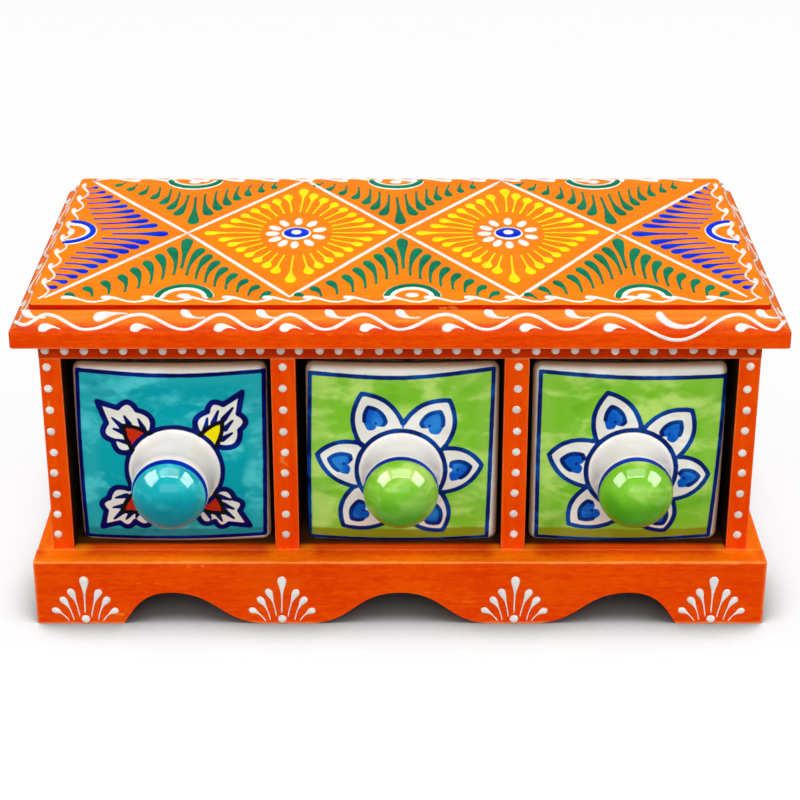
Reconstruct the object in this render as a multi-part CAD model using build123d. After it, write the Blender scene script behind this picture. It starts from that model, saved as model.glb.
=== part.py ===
from build123d import *
import os

# Painted wooden box with three ceramic drawers. Millimetres, +Z up, drawer fronts face -Y.
# Origin: on the floor, in the middle of the whole box taken with its knobs.

# Lid. Its width follows from the drawers below it
lid_depth = 131.0
lid_edge_height = 6.0
lid_bevel_rise = 4.6
lid_step_height = 1.7
lid_border_width = 5.8
lid_arris = 0.8
lid_corner_radius = 1.6
lid_edge_rounding = 1.5
lid_field_rounding = 0.5
lid_overhang = 7.45

# Carcass boards
side_thickness = 6.8
divider_thickness = 7.8
top_thickness = 6.55
back_thickness = 5.0
base_thickness = 6.5
board_rounding = 0.5

# Plinth
plinth_height = 22.7
apron_front_thickness = 8.7
apron_side_thickness = 5.4
apron_back_thickness = 5.4
apron_rounding = 0.7
foot_corner_rounding = 1.2
corner_foot_width = 28.0
middle_foot_width = 13.0
side_foot_width = 24.0
arch_height = 11.5
arch_shoulder = 15.5
arch_steep_run = 5.0

# Drawers, the same for all three bays
drawer_width = 61.6
drawer_height = 63.8
drawer_recess = 4.0
drawer_side_gap = 1.85
drawer_head_gap = 3.75
drawer_floor_gap = 0.15
drawer_back_gap = 0.3
drawer_corner_radius = 3.0
front_thickness = 6.5
front_crown = 1.9
front_edge_rounding = 2.2
tub_inset = 1.0
tub_height = 57.0
tub_wall = 4.5
tub_floor = 5.0
tub_inner_rounding = 3.0

# How far each drawer stands beside the middle of its bay, and each knob beside the middle of its drawer
drawer_shifts = {"left": 0.4, "middle": 0.8, "right": -0.4}
knob_shifts = {"left": 0.5, "middle": -0.5, "right": 1.3}

# Knobs
knob_height = 27.3
knob_ball_radius = 11.8
knob_reach = 15.3
knob_neck_radius = 8.9
knob_flare_radius = 14.2
knob_flare_lip = 0.6
knob_neck_pull = 2.2
knob_seat_sink = 0.2
knob_spigot_radius = 4.5
knob_spigot_length = 3.0

# Brads that hold the boards together
brad_radius = 0.7
brad_length = 16.0
brad_head_radius = 1.1
brad_head_height = 0.8
brad_end_distance = 14.0
lid_brad_bite = 5.0
back_brad_inset = 14.0

# Sizes that follow from the ones above. The case is as wide and as high as its drawers need
bay_width = drawer_width + 2 * drawer_side_gap
bay_height = drawer_floor_gap + drawer_height + drawer_head_gap
bay_pitch = bay_width + divider_thickness
carcass_width = 3 * bay_width + 2 * divider_thickness + 2 * side_thickness
carcass_depth = lid_depth - 2 * lid_overhang
lid_width = carcass_width + 2 * lid_overhang
bay_floor_z = plinth_height
bay_roof_z = bay_floor_z + bay_height
lid_base_z = bay_roof_z + top_thickness
base_bottom_z = bay_floor_z - base_thickness

# The box reaches from the knobs' tips to the lid's rear edge, and the origin is halfway
reach_before_front = knob_reach + knob_ball_radius - drawer_recess
whole_depth = reach_before_front + carcass_depth + lid_overhang
front_y = reach_before_front - whole_depth / 2
rear_y = front_y + carcass_depth
middle_y = (front_y + rear_y) / 2
back_inner_y = rear_y - back_thickness
rim_y = front_y + drawer_recess
drawer_length = back_inner_y - drawer_back_gap - rim_y
drawer_bottom_z = bay_floor_z + drawer_floor_gap
tub_rounding = drawer_corner_radius + tub_inset / 2

bay_centres = {"left": -bay_pitch, "middle": 0.0, "right": bay_pitch}
divider_x = bay_pitch / 2
side_x = (carcass_width - side_thickness) / 2
upright_places = (-side_x, -divider_x, divider_x, side_x)
plinth_half_width = carcass_width / 2 + apron_side_thickness
apron_front_y = front_y - apron_front_thickness
apron_rear_y = rear_y + apron_back_thickness


def board(x_low, x_high, y_low, y_high, z_low, z_high):
    """A flat board between two corners."""
    centre = ((x_low + x_high) / 2, (y_low + y_high) / 2, (z_low + z_high) / 2)
    return Pos(*centre) * Box(x_high - x_low, y_high - y_low, z_high - z_low)


def edges_at(solid, axis, place):
    """The edges whose middle lies at one place along an axis."""
    near = 0.01
    return solid.edges().filter_by_position(axis, place - near, place + near)


def upright(x_middle, thickness):
    """A side panel or divider, with its two front arrises softened."""
    half = thickness / 2
    panel = board(x_middle - half, x_middle + half, front_y, back_inner_y, bay_floor_z, bay_roof_z)
    front_arrises = edges_at(panel, Axis.Y, front_y).filter_by(Axis.Z)
    return fillet(front_arrises, board_rounding)


def make_lid():
    """The lid: a square edge, a sloped border and a raised field."""
    edge = Box(lid_width, lid_depth, lid_edge_height, align=(Align.CENTER, Align.CENTER, Align.MIN))
    edge = fillet(edge.edges().filter_by(Axis.Z), lid_corner_radius)
    edge = fillet(edge.faces().sort_by(Axis.Z)[-1].edges(), lid_edge_rounding)
    slope_low = Rectangle(lid_width - 2 * lid_arris, lid_depth - 2 * lid_arris)
    slope_low = fillet(slope_low.vertices(), lid_corner_radius)
    slope_high = Rectangle(lid_width - 2 * lid_border_width, lid_depth - 2 * lid_border_width)
    slope_high = fillet(slope_high.vertices(), lid_corner_radius)
    slope_base = lid_edge_height - lid_edge_rounding / 2
    field_base = lid_edge_height + lid_bevel_rise
    slope = loft([Pos(0, 0, slope_base) * slope_low, Pos(0, 0, field_base) * slope_high], ruled=True)
    field = extrude(Pos(0, 0, field_base) * slope_high, lid_step_height)
    field = fillet(field.faces().sort_by(Axis.Z)[-1].edges(), lid_field_rounding)
    return Pos(0, middle_y, lid_base_z) * (edge + slope + field)


def shoulder(foot, direction):
    """The steep curve from a foot's edge to the top of its arch."""
    peak = foot + direction * arch_shoulder
    pull = foot + direction * arch_steep_run
    lean = foot + direction * arch_steep_run / 2
    return Bezier((foot, 0), (lean, arch_height / 4), (pull, arch_height), (peak, arch_height))


def wave(start, start_height, end, end_height):
    """A flat S-curve that starts and ends level."""
    middle = (start + end) / 2
    return Bezier((start, start_height), (middle, start_height), (middle, end_height), (end, end_height))


def long_apron_outline():
    """Two corner feet, two middle feet and three arches, seen from the front."""
    corner_foot = plinth_half_width - corner_foot_width
    peak = corner_foot - arch_shoulder
    foot_outer = divider_x + middle_foot_width / 2
    foot_inner = divider_x - middle_foot_width / 2
    lines = [
        Polyline((-corner_foot, 0), (-plinth_half_width, 0), (-plinth_half_width, plinth_height),
                 (plinth_half_width, plinth_height), (plinth_half_width, 0), (corner_foot, 0)),
        shoulder(corner_foot, -1),
        wave(peak, arch_height, foot_outer, 0),
        Line((foot_outer, 0), (foot_inner, 0)),
        wave(foot_inner, 0, 0, arch_height),
        wave(0, arch_height, -foot_inner, 0),
        Line((-foot_inner, 0), (-foot_outer, 0)),
        wave(-foot_outer, 0, -peak, arch_height),
        shoulder(-corner_foot, 1),
    ]
    return make_face(lines)


def long_apron(y_low, y_high, show_y):
    """The front or rear apron, with the arrises of its showing face softened."""
    plank = Pos(0, y_high, 0) * extrude(Plane.XZ * long_apron_outline(), y_high - y_low)
    ends = edges_at(plank, Axis.X, -plinth_half_width) + edges_at(plank, Axis.X, plinth_half_width)
    plank = fillet(edges_at(ends.filter_by(Axis.Y), Axis.Z, 0), foot_corner_rounding)
    showing = edges_at(plank, Axis.Y, show_y)
    return fillet(edges_at(showing, Axis.Z, plinth_height), apron_rounding)


def side_apron(sign):
    """A side apron with one arch, between the front and rear aprons."""
    front_foot = front_y + side_foot_width
    rear_foot = rear_y - side_foot_width
    lines = [
        Polyline((front_foot, 0), (front_y, 0), (front_y, plinth_height), (rear_y, plinth_height),
                 (rear_y, 0), (rear_foot, 0)),
        shoulder(rear_foot, -1),
        Line((rear_foot - arch_shoulder, arch_height), (front_foot + arch_shoulder, arch_height)),
        shoulder(front_foot, 1),
    ]
    plank = extrude(Plane.YZ * make_face(lines), apron_side_thickness)
    start = carcass_width / 2 if sign > 0 else -plinth_half_width
    plank = Pos(start, 0, 0) * plank
    showing = edges_at(plank, Axis.X, sign * plinth_half_width)
    return fillet(edges_at(showing, Axis.Z, plinth_height), apron_rounding)


def crown_radius():
    """The radius of the ball that crowns a drawer's front."""
    half_width = drawer_width / 2
    return (half_width ** 2 + front_crown ** 2) / (2 * front_crown)


def drawer_front():
    """The crowned front plate, its rim at Y = 0 halfway up each side and its foot at Z = 0."""
    outline = Rectangle(drawer_width, drawer_height)
    outline = fillet(outline.vertices(), drawer_corner_radius)
    plate = extrude(Plane.XZ * outline, front_thickness + front_crown)
    plate = Pos(0, front_thickness, drawer_height / 2) * plate
    ball = Pos(0, crown_radius() - front_crown, drawer_height / 2) * Sphere(crown_radius())
    plate = plate & ball
    crown = plate.faces().filter_by(GeomType.SPHERE)[0]
    return fillet(crown.edges(), front_edge_rounding)


def drawer_tub():
    """The tray behind the front plate, and the space inside it."""
    half = drawer_width / 2 - tub_inset
    tray = board(-half, half, front_thickness / 2, drawer_length, 0, tub_height)
    rear_corners = edges_at(tray, Axis.Y, drawer_length).filter_by(Axis.Z)
    foot_edges = edges_at(tray, Axis.Z, 0).filter_by(Axis.Y)
    tray = fillet(rear_corners + foot_edges, tub_rounding)
    inside = board(tub_wall - half, half - tub_wall, front_thickness, drawer_length - tub_wall,
                   tub_floor, drawer_height)
    rounded = inside.edges().filter_by(Axis.Z) + inside.faces().sort_by(Axis.Z)[0].edges()
    return tray, fillet(rounded, tub_inner_rounding)


def seat_depth(name):
    """How far behind the crown's highest point a knob's flat seat lies."""
    offset = (knob_shifts[name] ** 2 + (drawer_height / 2 - knob_height) ** 2) ** 0.5
    reach = knob_flare_radius + offset
    return crown_radius() - (crown_radius() ** 2 - reach ** 2) ** 0.5 + knob_seat_sink


def make_drawer(name):
    """One ceramic drawer, with a flat seat and a socket for its knob."""
    tray, inside = drawer_tub()
    seat_y = seat_depth(name) - front_crown
    seat = Cylinder(knob_flare_radius, front_crown, align=(Align.CENTER, Align.CENTER, Align.MIN))
    socket = Cylinder(knob_spigot_radius, knob_spigot_length, align=(Align.CENTER, Align.CENTER, Align.MAX))
    box = drawer_front() + tray - inside
    box -= Pos(knob_shifts[name], seat_y, knob_height) * Rot(90, 0, 0) * (seat + socket)
    return Pos(bay_centres[name] + drawer_shifts[name], rim_y, drawer_bottom_z) * box


def make_knob(name):
    """A ball on a trumpet foot, turned about its own axis, with a spigot behind."""
    seat_y = seat_depth(name) - front_crown
    ball_middle = knob_reach + seat_y
    join = (knob_neck_radius, ball_middle - (knob_ball_radius ** 2 - knob_neck_radius ** 2) ** 0.5)
    side = (knob_ball_radius, ball_middle)
    tip = (0, ball_middle + knob_ball_radius)
    lines = [
        Polyline((0, -knob_spigot_length), (knob_spigot_radius, -knob_spigot_length),
                 (knob_spigot_radius, 0), (knob_flare_radius, 0), (knob_flare_radius, knob_flare_lip)),
        Bezier((knob_flare_radius, knob_flare_lip), (knob_neck_radius, knob_flare_lip + knob_neck_pull),
               (knob_neck_radius, join[1] - knob_neck_pull), join),
        ThreePointArc(join, side, tip),
        Line(tip, (0, -knob_spigot_length)),
    ]
    turned = revolve(make_face(lines), Axis.Y)
    place = (bay_centres[name] + drawer_shifts[name] + knob_shifts[name], rim_y + seat_y,
             drawer_bottom_z + knob_height)
    return Pos(*place) * Rot(0, 0, 180) * turned


def brads(places, turn, length=brad_length):
    """A headed brad at each place, all turned the same way, the top of each head at its place."""
    below = (Align.CENTER, Align.CENTER, Align.MAX)
    shank = Cylinder(brad_radius, length, align=below)
    head = Cylinder(brad_head_radius, brad_head_height, align=below)
    return [Pos(*place) * turn * (shank + head) for place in places]


# Which way a brad that starts out pointing down is turned to point
points_down = Rot(0, 0, 0)
points_up = Rot(180, 0, 0)
points_rearward = Rot(90, 0, 0)
points_forward = Rot(-90, 0, 0)
points_right = Rot(0, -90, 0)
points_left = Rot(0, 90, 0)

brad_rows = (front_y + brad_end_distance, middle_y, back_inner_y - brad_end_distance)
between_rows = ((brad_rows[0] + brad_rows[1]) / 2, (brad_rows[1] + brad_rows[2]) / 2)
base_middle_z = bay_floor_z - base_thickness / 2
front_apron_places = [(x, apron_front_y, base_middle_z) for x in bay_centres.values()]
rear_apron_places = [(x, apron_rear_y, base_middle_z) for x in bay_centres.values()]
left_apron_places = [(-plinth_half_width, y, base_middle_z) for y in between_rows]
right_apron_places = [(plinth_half_width, y, base_middle_z) for y in between_rows]
back_brad_heights = (bay_floor_z + back_brad_inset, bay_roof_z - back_brad_inset)

top_brads = brads([(x, y, lid_base_z) for x in upright_places for y in brad_rows], points_down)
lid_brads = brads([(x, y, bay_roof_z) for x in bay_centres.values() for y in between_rows], points_up,
                  top_thickness + lid_brad_bite)
base_brads = brads([(x, y, base_bottom_z) for x in upright_places for y in brad_rows], points_up)
back_brads = brads([(x, rear_y, z) for x in upright_places for z in back_brad_heights], points_forward)
front_apron_brads = brads(front_apron_places, points_rearward)
rear_apron_brads = brads(rear_apron_places, points_forward)
left_apron_brads = brads(left_apron_places, points_right)
right_apron_brads = brads(right_apron_places, points_left)
apron_brads = front_apron_brads + rear_apron_brads + left_apron_brads + right_apron_brads

half_carcass = carcass_width / 2
top_board = board(-half_carcass, half_carcass, front_y, rear_y, bay_roof_z, lid_base_z)
back_panel = board(-half_carcass, half_carcass, back_inner_y, rear_y, bay_floor_z, bay_roof_z)
base_board = board(-half_carcass, half_carcass, front_y, rear_y, base_bottom_z, bay_floor_z)

nodes = {
    "lid_board": make_lid() - lid_brads,
    "top_board": top_board - top_brads - lid_brads,
    "side_panel_left": upright(-side_x, side_thickness) - top_brads - base_brads - back_brads,
    "side_panel_right": upright(side_x, side_thickness) - top_brads - base_brads - back_brads,
    "divider_left": upright(-divider_x, divider_thickness) - top_brads - base_brads - back_brads,
    "divider_right": upright(divider_x, divider_thickness) - top_brads - base_brads - back_brads,
    "back_panel": back_panel - back_brads,
    "base_board": base_board - base_brads - apron_brads,
    "apron_front": long_apron(apron_front_y, front_y, apron_front_y) - front_apron_brads,
    "apron_rear": long_apron(rear_y, apron_rear_y, apron_rear_y) - rear_apron_brads,
    "apron_left": side_apron(-1) - left_apron_brads,
    "apron_right": side_apron(1) - right_apron_brads,
    "top_brads": Compound(top_brads),
    "lid_brads": Compound(lid_brads),
    "base_brads": Compound(base_brads),
    "back_brads": Compound(back_brads),
    "apron_brads": Compound(apron_brads),
}
for name in bay_centres:
    nodes["drawer_" + name] = make_drawer(name)
    nodes["knob_" + name] = make_knob(name)

os.makedirs("parts", exist_ok=True)
for name, solid in nodes.items():
    solid.label = name
    export_step(solid, "parts/" + name + ".step")
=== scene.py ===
import math

import bpy
import numpy as np
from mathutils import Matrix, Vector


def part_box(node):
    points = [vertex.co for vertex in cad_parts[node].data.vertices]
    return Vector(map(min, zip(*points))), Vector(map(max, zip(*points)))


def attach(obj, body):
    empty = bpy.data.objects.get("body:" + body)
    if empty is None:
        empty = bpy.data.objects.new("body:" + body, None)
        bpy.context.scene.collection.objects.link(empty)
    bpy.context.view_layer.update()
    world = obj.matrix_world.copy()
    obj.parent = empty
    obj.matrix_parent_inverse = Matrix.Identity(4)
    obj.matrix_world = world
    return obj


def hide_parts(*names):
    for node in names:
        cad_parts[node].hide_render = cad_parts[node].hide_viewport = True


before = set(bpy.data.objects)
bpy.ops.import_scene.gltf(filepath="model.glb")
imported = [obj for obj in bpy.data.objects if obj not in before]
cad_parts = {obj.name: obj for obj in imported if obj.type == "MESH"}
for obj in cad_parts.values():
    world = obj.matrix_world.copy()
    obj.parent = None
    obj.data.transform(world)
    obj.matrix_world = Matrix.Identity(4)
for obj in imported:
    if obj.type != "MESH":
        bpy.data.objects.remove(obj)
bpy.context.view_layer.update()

# Places are in millimetres from here on, in the frame's own axes. A mesh gets metres at the last step.
MM = 0.001


def box_mm(node):
    """Lowest and highest corner of a CAD node, in millimetres."""
    low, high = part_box(node)
    return np.array(low) / MM, np.array(high) / MM


lid_low, lid_high = box_mm("lid_board")
right_side_low, right_side_high = box_mm("side_panel_right")
apron_low, apron_high = box_mm("apron_front")
rear_apron_high = box_mm("apron_rear")[1]
end_apron_low, end_apron_high = box_mm("apron_right")

case_half_width = right_side_high[0]
case_front = right_side_low[1]
case_rear = right_side_high[1]
case_middle = (case_front + case_rear) / 2
lid_middle = (lid_low[1] + lid_high[1]) / 2
lid_half_width = lid_high[0]
lid_half_depth = (lid_high[1] - lid_low[1]) / 2
ledge_height = apron_high[2]

# The painted border of the lid, from its lower arris up to the step below the raised field
lid_border_inset = 5.8
lid_border_height = 10.6
lid_wall_height = 4.5
lid_arris_inset = 1.5
lid_arris_height = 6.0


# Surfaces that the brushwork lies on. Each turns u, v and a lift above the surface into places,
# with u, v and the lift a right-handed set, so every stroke faces outwards. One whose v runs down
# has its strokes' faces turned over later.

# The lid's pattern is laid out by the same measure both ways and stretched from front to back
field_stretch = 1.38

# For each side, the way u runs and the way out, in x and y
directions = {"front": ((1, 0), (0, -1)), "right": ((0, 1), (1, 0)),
              "back": ((-1, 0), (0, 1)), "left": ((0, -1), (-1, 0))}


def on_field(u, v, lift):
    """The flat field on top of the lid: u to the right, v to the back, in stretched measure."""
    return np.stack([u, lid_middle + field_stretch * v, lid_high[2] + lift], axis=-1)


def on_side(side, u, out):
    """x and y on one side: u times the way it runs, and out times the way out."""
    ahead, outwards = directions[side]
    return ahead[0] * u + outwards[0] * out, ahead[1] * u + outwards[1] * out


def lid_border(side):
    """The lid's border on one side: u along it, v down from the step, over the slope and the arris."""
    reach = lid_half_depth if side in ("front", "back") else lid_half_width
    inset = np.array([lid_border_inset, lid_arris_inset, 0.35, 0.0, 0.0])
    height = np.array([lid_border_height, lid_arris_height, 5.6, lid_wall_height, 0.0])
    down = np.concatenate([[0], np.cumsum(np.hypot(np.diff(inset), np.diff(height)))])
    lean = np.radians([43.0, 43.0, 25.0, 0.0, 0.0])

    def place(u, v, lift):
        """Slides down the border's profile by v, then out along its normal by the lift."""
        tilt = np.interp(v, down, lean)
        x, y = on_side(side, u, reach - np.interp(v, down, inset) + lift * np.cos(tilt))
        z = lid_low[2] + np.interp(v, down, height) + lift * np.sin(tilt)
        return np.stack([x, lid_middle + y, z], axis=-1)

    return place


def upright_face(side, reach):
    """A plain upright face at a distance from the middle: u along it to the right, v up from the floor."""

    def place(u, v, lift):
        """u along the face, v up, and the lift straight out of it."""
        x, y = on_side(side, u, reach + lift)
        return np.stack([x, y, v + 0 * u], axis=-1)

    return place


# Meshes

def make_piece(name, points, faces, material, body, values=None):
    """Puts points in millimetres and faces into a mesh that rides on a body, with named numbers per point."""
    mesh = bpy.data.meshes.new(name)
    mesh.from_pydata((np.asarray(points) * MM).tolist(), [], faces)
    for label, numbers in (values or {}).items():
        layer = mesh.attributes.new(label, "FLOAT", "POINT")
        layer.data.foreach_set("value", np.asarray(numbers, dtype=np.float32))
    mesh.polygons.foreach_set("use_smooth", [True] * len(mesh.polygons))
    mesh.materials.append(material)
    mesh.update()
    piece = bpy.data.objects.new(name, mesh)
    bpy.context.scene.collection.objects.link(piece)
    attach(piece, body)
    return piece


def grid_faces(rows, columns, wrap=False):
    """Quads of a grid of rows by columns, counter-clockwise when columns run right and rows run up."""
    index = np.arange(rows * columns).reshape(rows, columns)
    if wrap:
        index = np.concatenate([index, index[:, :1]], axis=1)
    corners = [index[:-1, :-1], index[:-1, 1:], index[1:, 1:], index[1:, :-1]]
    return np.stack(corners, axis=-1).reshape(-1, 4)


def domed_faces(rows, columns):
    """Faces over rings of points, closed by a fan to one last point and by a flat face on the first ring."""
    last = columns * (rows - 1)
    fan = [[last + step, last + (step + 1) % columns, last + columns] for step in range(columns)]
    return grid_faces(rows, columns, wrap=True).tolist() + fan + [list(range(columns - 1, -1, -1))]


def repeat_faces(template, count, points_each):
    """The faces of one small shape, repeated for many, each with its own points."""
    starts = range(0, count * points_each, points_each)
    return [[corner + start for corner in face] for start in starts for face in template]


# Brushwork: low ridges of paint

ridge_points = 5
ridge_foot = 0.08
dot_points = 12


def ridges(paths, widths, thickness, surface):
    """Each stroke follows a flat path; its section is half an ellipse, as wide as the stroke there.

    paths is strokes × steps × 2, widths is half the width at each step. The section's foot goes just
    below the surface, and both ends are closed by a small face.
    """
    strokes, steps, _ = paths.shape
    ahead = np.gradient(paths, axis=1)
    ahead /= np.maximum(np.linalg.norm(ahead, axis=2, keepdims=True), 1e-9)
    right = np.stack([ahead[..., 1], -ahead[..., 0]], axis=-1)
    turn = np.linspace(0, math.pi, ridge_points)
    flat = paths[:, :, None, :] + right[:, :, None, :] * (widths[:, :, None] * np.cos(turn))[..., None]
    crest = thickness * np.sqrt(widths / widths.max())[:, :, None]
    lift = crest * np.sin(turn) - ridge_foot * (np.sin(turn) < 0.01)
    points = surface(flat[..., 0], flat[..., 1], lift).reshape(-1, 3)
    sides = grid_faces(steps, ridge_points, wrap=True)[:, ::-1].tolist()
    first = list(range(ridge_points))
    last = [(steps - 1) * ridge_points + corner for corner in reversed(range(ridge_points))]
    return points, repeat_faces(sides + [first, last], strokes, steps * ridge_points)


def bezier(start, pull, push, end, share):
    """Cubic curves: the four points weighted by (1-t)³, 3t(1-t)², 3t²(1-t) and t³."""
    t = share[None, :, None]
    return ((1 - t) ** 3 * start[:, None] + 3 * t * (1 - t) ** 2 * pull[:, None]
            + 3 * t ** 2 * (1 - t) * push[:, None] + t ** 3 * end[:, None])


def brush_drops(heads, tails, radius, bow=0.0, waist=0.35, tip=0.18, pulls=None):
    """Brush drops, each a round head drawn out to a thin tail.

    The path is a cubic curve from head to tail, pushed sideways by bow times its length, or through
    given pulls. The half width is a circle round the head, then radius × (tip + (1-tip)·exp(-(t/waist)²)).
    """
    heads = np.asarray(heads, float)
    tails = np.asarray(tails, float)
    radius = np.broadcast_to(radius, len(heads)).astype(float)
    bow = np.broadcast_to(bow, len(heads)).astype(float)
    run = tails - heads
    left = np.stack([-run[:, 1], run[:, 0]], axis=-1) * bow[:, None]
    pull, push = pulls if pulls else (heads + run / 3 + left, heads + run * 2 / 3 + left * 0.8)
    share = np.array([0, 0.06, 0.13, 0.21, 0.3, 0.42, 0.57, 0.74, 0.9, 1.0])
    path = bezier(heads, pull, push, tails, share)
    start = pull - heads
    start /= np.linalg.norm(start, axis=1, keepdims=True)
    cap = np.radians([8, 34, 62])
    front = heads[:, None] - start[:, None] * (radius[:, None] * np.cos(cap))[..., None]
    half = radius[:, None] * (tip + (1 - tip) * np.exp(-(share / waist) ** 2))
    widths = np.concatenate([radius[:, None] * np.sin(cap), half], axis=1)
    return np.concatenate([front, path], axis=1), widths


def brush_lines(lines, half_width, steps=14):
    """Lines of even width through a few points each, smoothed as a spline, with short rounded ends."""
    paths = np.stack([smooth_line(line, steps) for line in lines])
    widths = np.full(paths.shape[:2], half_width)
    widths[:, [0, -1]] *= 0.45
    return paths, widths


def smooth_line(points, steps):
    """A curve through points: cubic spans, each end leaving along the line between its two neighbours."""
    points = np.asarray(points, float)
    padded = np.concatenate([2 * points[:1] - points[1:2], points, 2 * points[-1:] - points[-2:-1]])
    place = np.linspace(0, len(points) - 1, steps)
    span = np.minimum(place.astype(int), len(points) - 2)
    t = (place - span)[:, None]
    before, start, end, after = (padded[span + shift] for shift in range(4))
    return 0.5 * (2 * start + (end - before) * t + (2 * before - 5 * start + 4 * end - after) * t ** 2
                  + (3 * start - before - 3 * end + after) * t ** 3)


def ovals(middles, ahead, half_length, half_width, steps=9):
    """Ovals as short strokes: half width × sin of the angle along them, from end to end."""
    middles = np.asarray(middles, float)
    ahead = np.asarray(ahead, float)
    ahead = ahead / np.linalg.norm(ahead, axis=1, keepdims=True)
    turn = np.linspace(0.12, math.pi - 0.12, steps)
    paths = middles[:, None] - ahead[:, None] * (half_length * np.cos(turn))[None, :, None]
    return paths, np.broadcast_to(half_width * np.sin(turn), paths.shape[:2]).copy()


def dots(centres, radius, thickness, surface):
    """Round raised dots: rings at rising angles of a flattened dome, with a top point and a flat foot."""
    centres = np.asarray(centres, float)
    radius = np.broadcast_to(radius, len(centres)).astype(float)
    around = np.linspace(0, 2 * math.pi, dot_points, endpoint=False)
    rise = np.radians([-6, 22, 52])
    spread = radius[:, None, None] * np.cos(rise)[None, :, None]
    u = centres[:, 0][:, None, None] + spread * np.cos(around)
    v = centres[:, 1][:, None, None] + spread * np.sin(around)
    lift = np.broadcast_to(thickness * np.sin(rise)[None, :, None], u.shape)
    rings = surface(u, v, lift).reshape(len(centres), -1, 3)
    tops = surface(centres[:, 0], centres[:, 1], np.full(len(centres), thickness))
    points = np.concatenate([rings, tops[:, None]], axis=1)
    faces = domed_faces(len(rise), dot_points)
    return points.reshape(-1, 3), repeat_faces(faces, len(centres), points.shape[1])


def joined(*meshes):
    """Several sets of points and faces as one."""
    points = np.concatenate([mesh[0] for mesh in meshes])
    starts = np.cumsum([0] + [len(mesh[0]) for mesh in meshes[:-1]])
    faces = [[corner + start for corner in face] for mesh, start in zip(meshes, starts) for face in mesh[1]]
    return points, faces


def mirrored_faces(mesh):
    """The same mesh with its faces turned over, for a surface whose v runs down."""
    return mesh[0], [face[::-1] for face in mesh[1]]


def paint_on_case(name, strokes, paint):
    """Strokes of one paint as one piece that stays on the case."""
    make_piece(name, *joined(*strokes), paint, "case")


def on_lid(strokes, thickness):
    """Paths and widths in the stretched measure as ridges on the lid's field."""
    return ridges(*strokes, thickness, on_field)


def spaced(points, count):
    """count places along a bent line, evenly spaced by its length."""
    points = np.asarray(points, float)
    run = np.concatenate([[0], np.cumsum(np.linalg.norm(np.diff(points, axis=0), axis=1))])
    at = np.linspace(0, run[-1], count)
    return np.stack([np.interp(at, run, points[:, 0]), np.interp(at, run, points[:, 1])], axis=1)


def field_measure(points):
    """Points of the field in real millimetres, as the stretched measure that the strokes are drawn in."""
    return np.asarray(points, float) / (1, field_stretch)


# Shader helpers

def fill(tree, node, values):
    """Fills a node's sockets by name or number; each value is a plain one or another node's output."""
    for key, value in values.items():
        if isinstance(value, bpy.types.NodeSocket):
            tree.links.new(value, node.inputs[key])
        else:
            node.inputs[key].default_value = value


def put(tree, kind, values=None, **settings):
    """Adds a shader node with its settings and fills its sockets."""
    node = tree.nodes.new(kind)
    for key, value in settings.items():
        setattr(node, key, value)
    fill(tree, node, values or {})
    return node


def maths(tree, operation, first, second=0.0):
    """One Math node's output."""
    return put(tree, "ShaderNodeMath", {0: first, 1: second}, operation=operation).outputs[0]


def plus(tree, first, second):
    """The sum of two values."""
    return maths(tree, "ADD", first, second)


def minus(tree, first, second):
    """The first value less the second."""
    return maths(tree, "SUBTRACT", first, second)


def times(tree, first, second):
    """The product of two values or masks."""
    return maths(tree, "MULTIPLY", first, second)


def vector_maths(tree, operation, first, second=(0.0, 0.0, 0.0)):
    """One Vector Math node's output."""
    return put(tree, "ShaderNodeVectorMath", {0: first, 1: second}, operation=operation).outputs[0]


def axes(tree, vector):
    """A vector's three parts."""
    return put(tree, "ShaderNodeSeparateXYZ", {0: vector}).outputs


def attribute(tree, name):
    """A number that a mesh holds at each point."""
    return put(tree, "ShaderNodeAttribute", attribute_name=name).outputs["Fac"]


def mixed(tree, share, first, second):
    """The second colour over the first, by share."""
    return put(tree, "ShaderNodeMix", {0: share, 6: first, 7: second}, data_type="RGBA").outputs[2]


def mixed_pairs(tree, share, first, second):
    """A dark and a light colour over another such pair, by share."""
    return [mixed(tree, share, under, over) for under, over in zip(first, second)]


def step_between(tree, value, low, high):
    """0 below low, 1 above high, smooth between them. low may be above high, which turns it round."""
    values = {0: value, 1: low, 2: high, 3: 0.0, 4: 1.0}
    return put(tree, "ShaderNodeMapRange", values, interpolation_type="SMOOTHSTEP").outputs[0]


def noise(tree, place, scale, detail=3.0, roughness=0.55, distortion=0.0):
    """A noise value about 0.5."""
    values = {"Vector": place, "Scale": scale, "Detail": detail, "Roughness": roughness,
              "Distortion": distortion}
    return put(tree, "ShaderNodeTexNoise", values).outputs[0]


def colour(red, green, blue):
    """A colour given as it is seen, 0 to 255, in the linear values that a shader takes."""
    seen = np.array([red, green, blue]) / 255
    linear = np.where(seen <= 0.04045, seen / 12.92, ((seen + 0.055) / 1.055) ** 2.4)
    return (*linear.tolist(), 1.0)


def make_group(name, takes, gives):
    """A node group with named inputs, each with its default, and named outputs."""
    tree = bpy.data.node_groups.new(name, "ShaderNodeTree")
    for label, default in takes.items():
        kind = {float: "NodeSocketFloat", tuple: "NodeSocketVector", list: "NodeSocketColor"}[type(default)]
        socket = tree.interface.new_socket(label, in_out="INPUT", socket_type=kind)
        socket.default_value = default
    for label, kind in gives.items():
        tree.interface.new_socket(label, in_out="OUTPUT", socket_type=kind)
    return tree, tree.nodes.new("NodeGroupInput").outputs, tree.nodes.new("NodeGroupOutput")


def use_group(tree, group, values):
    """Places a group in a material and returns its outputs."""
    return put(tree, "ShaderNodeGroup", values, node_tree=group).outputs


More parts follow.
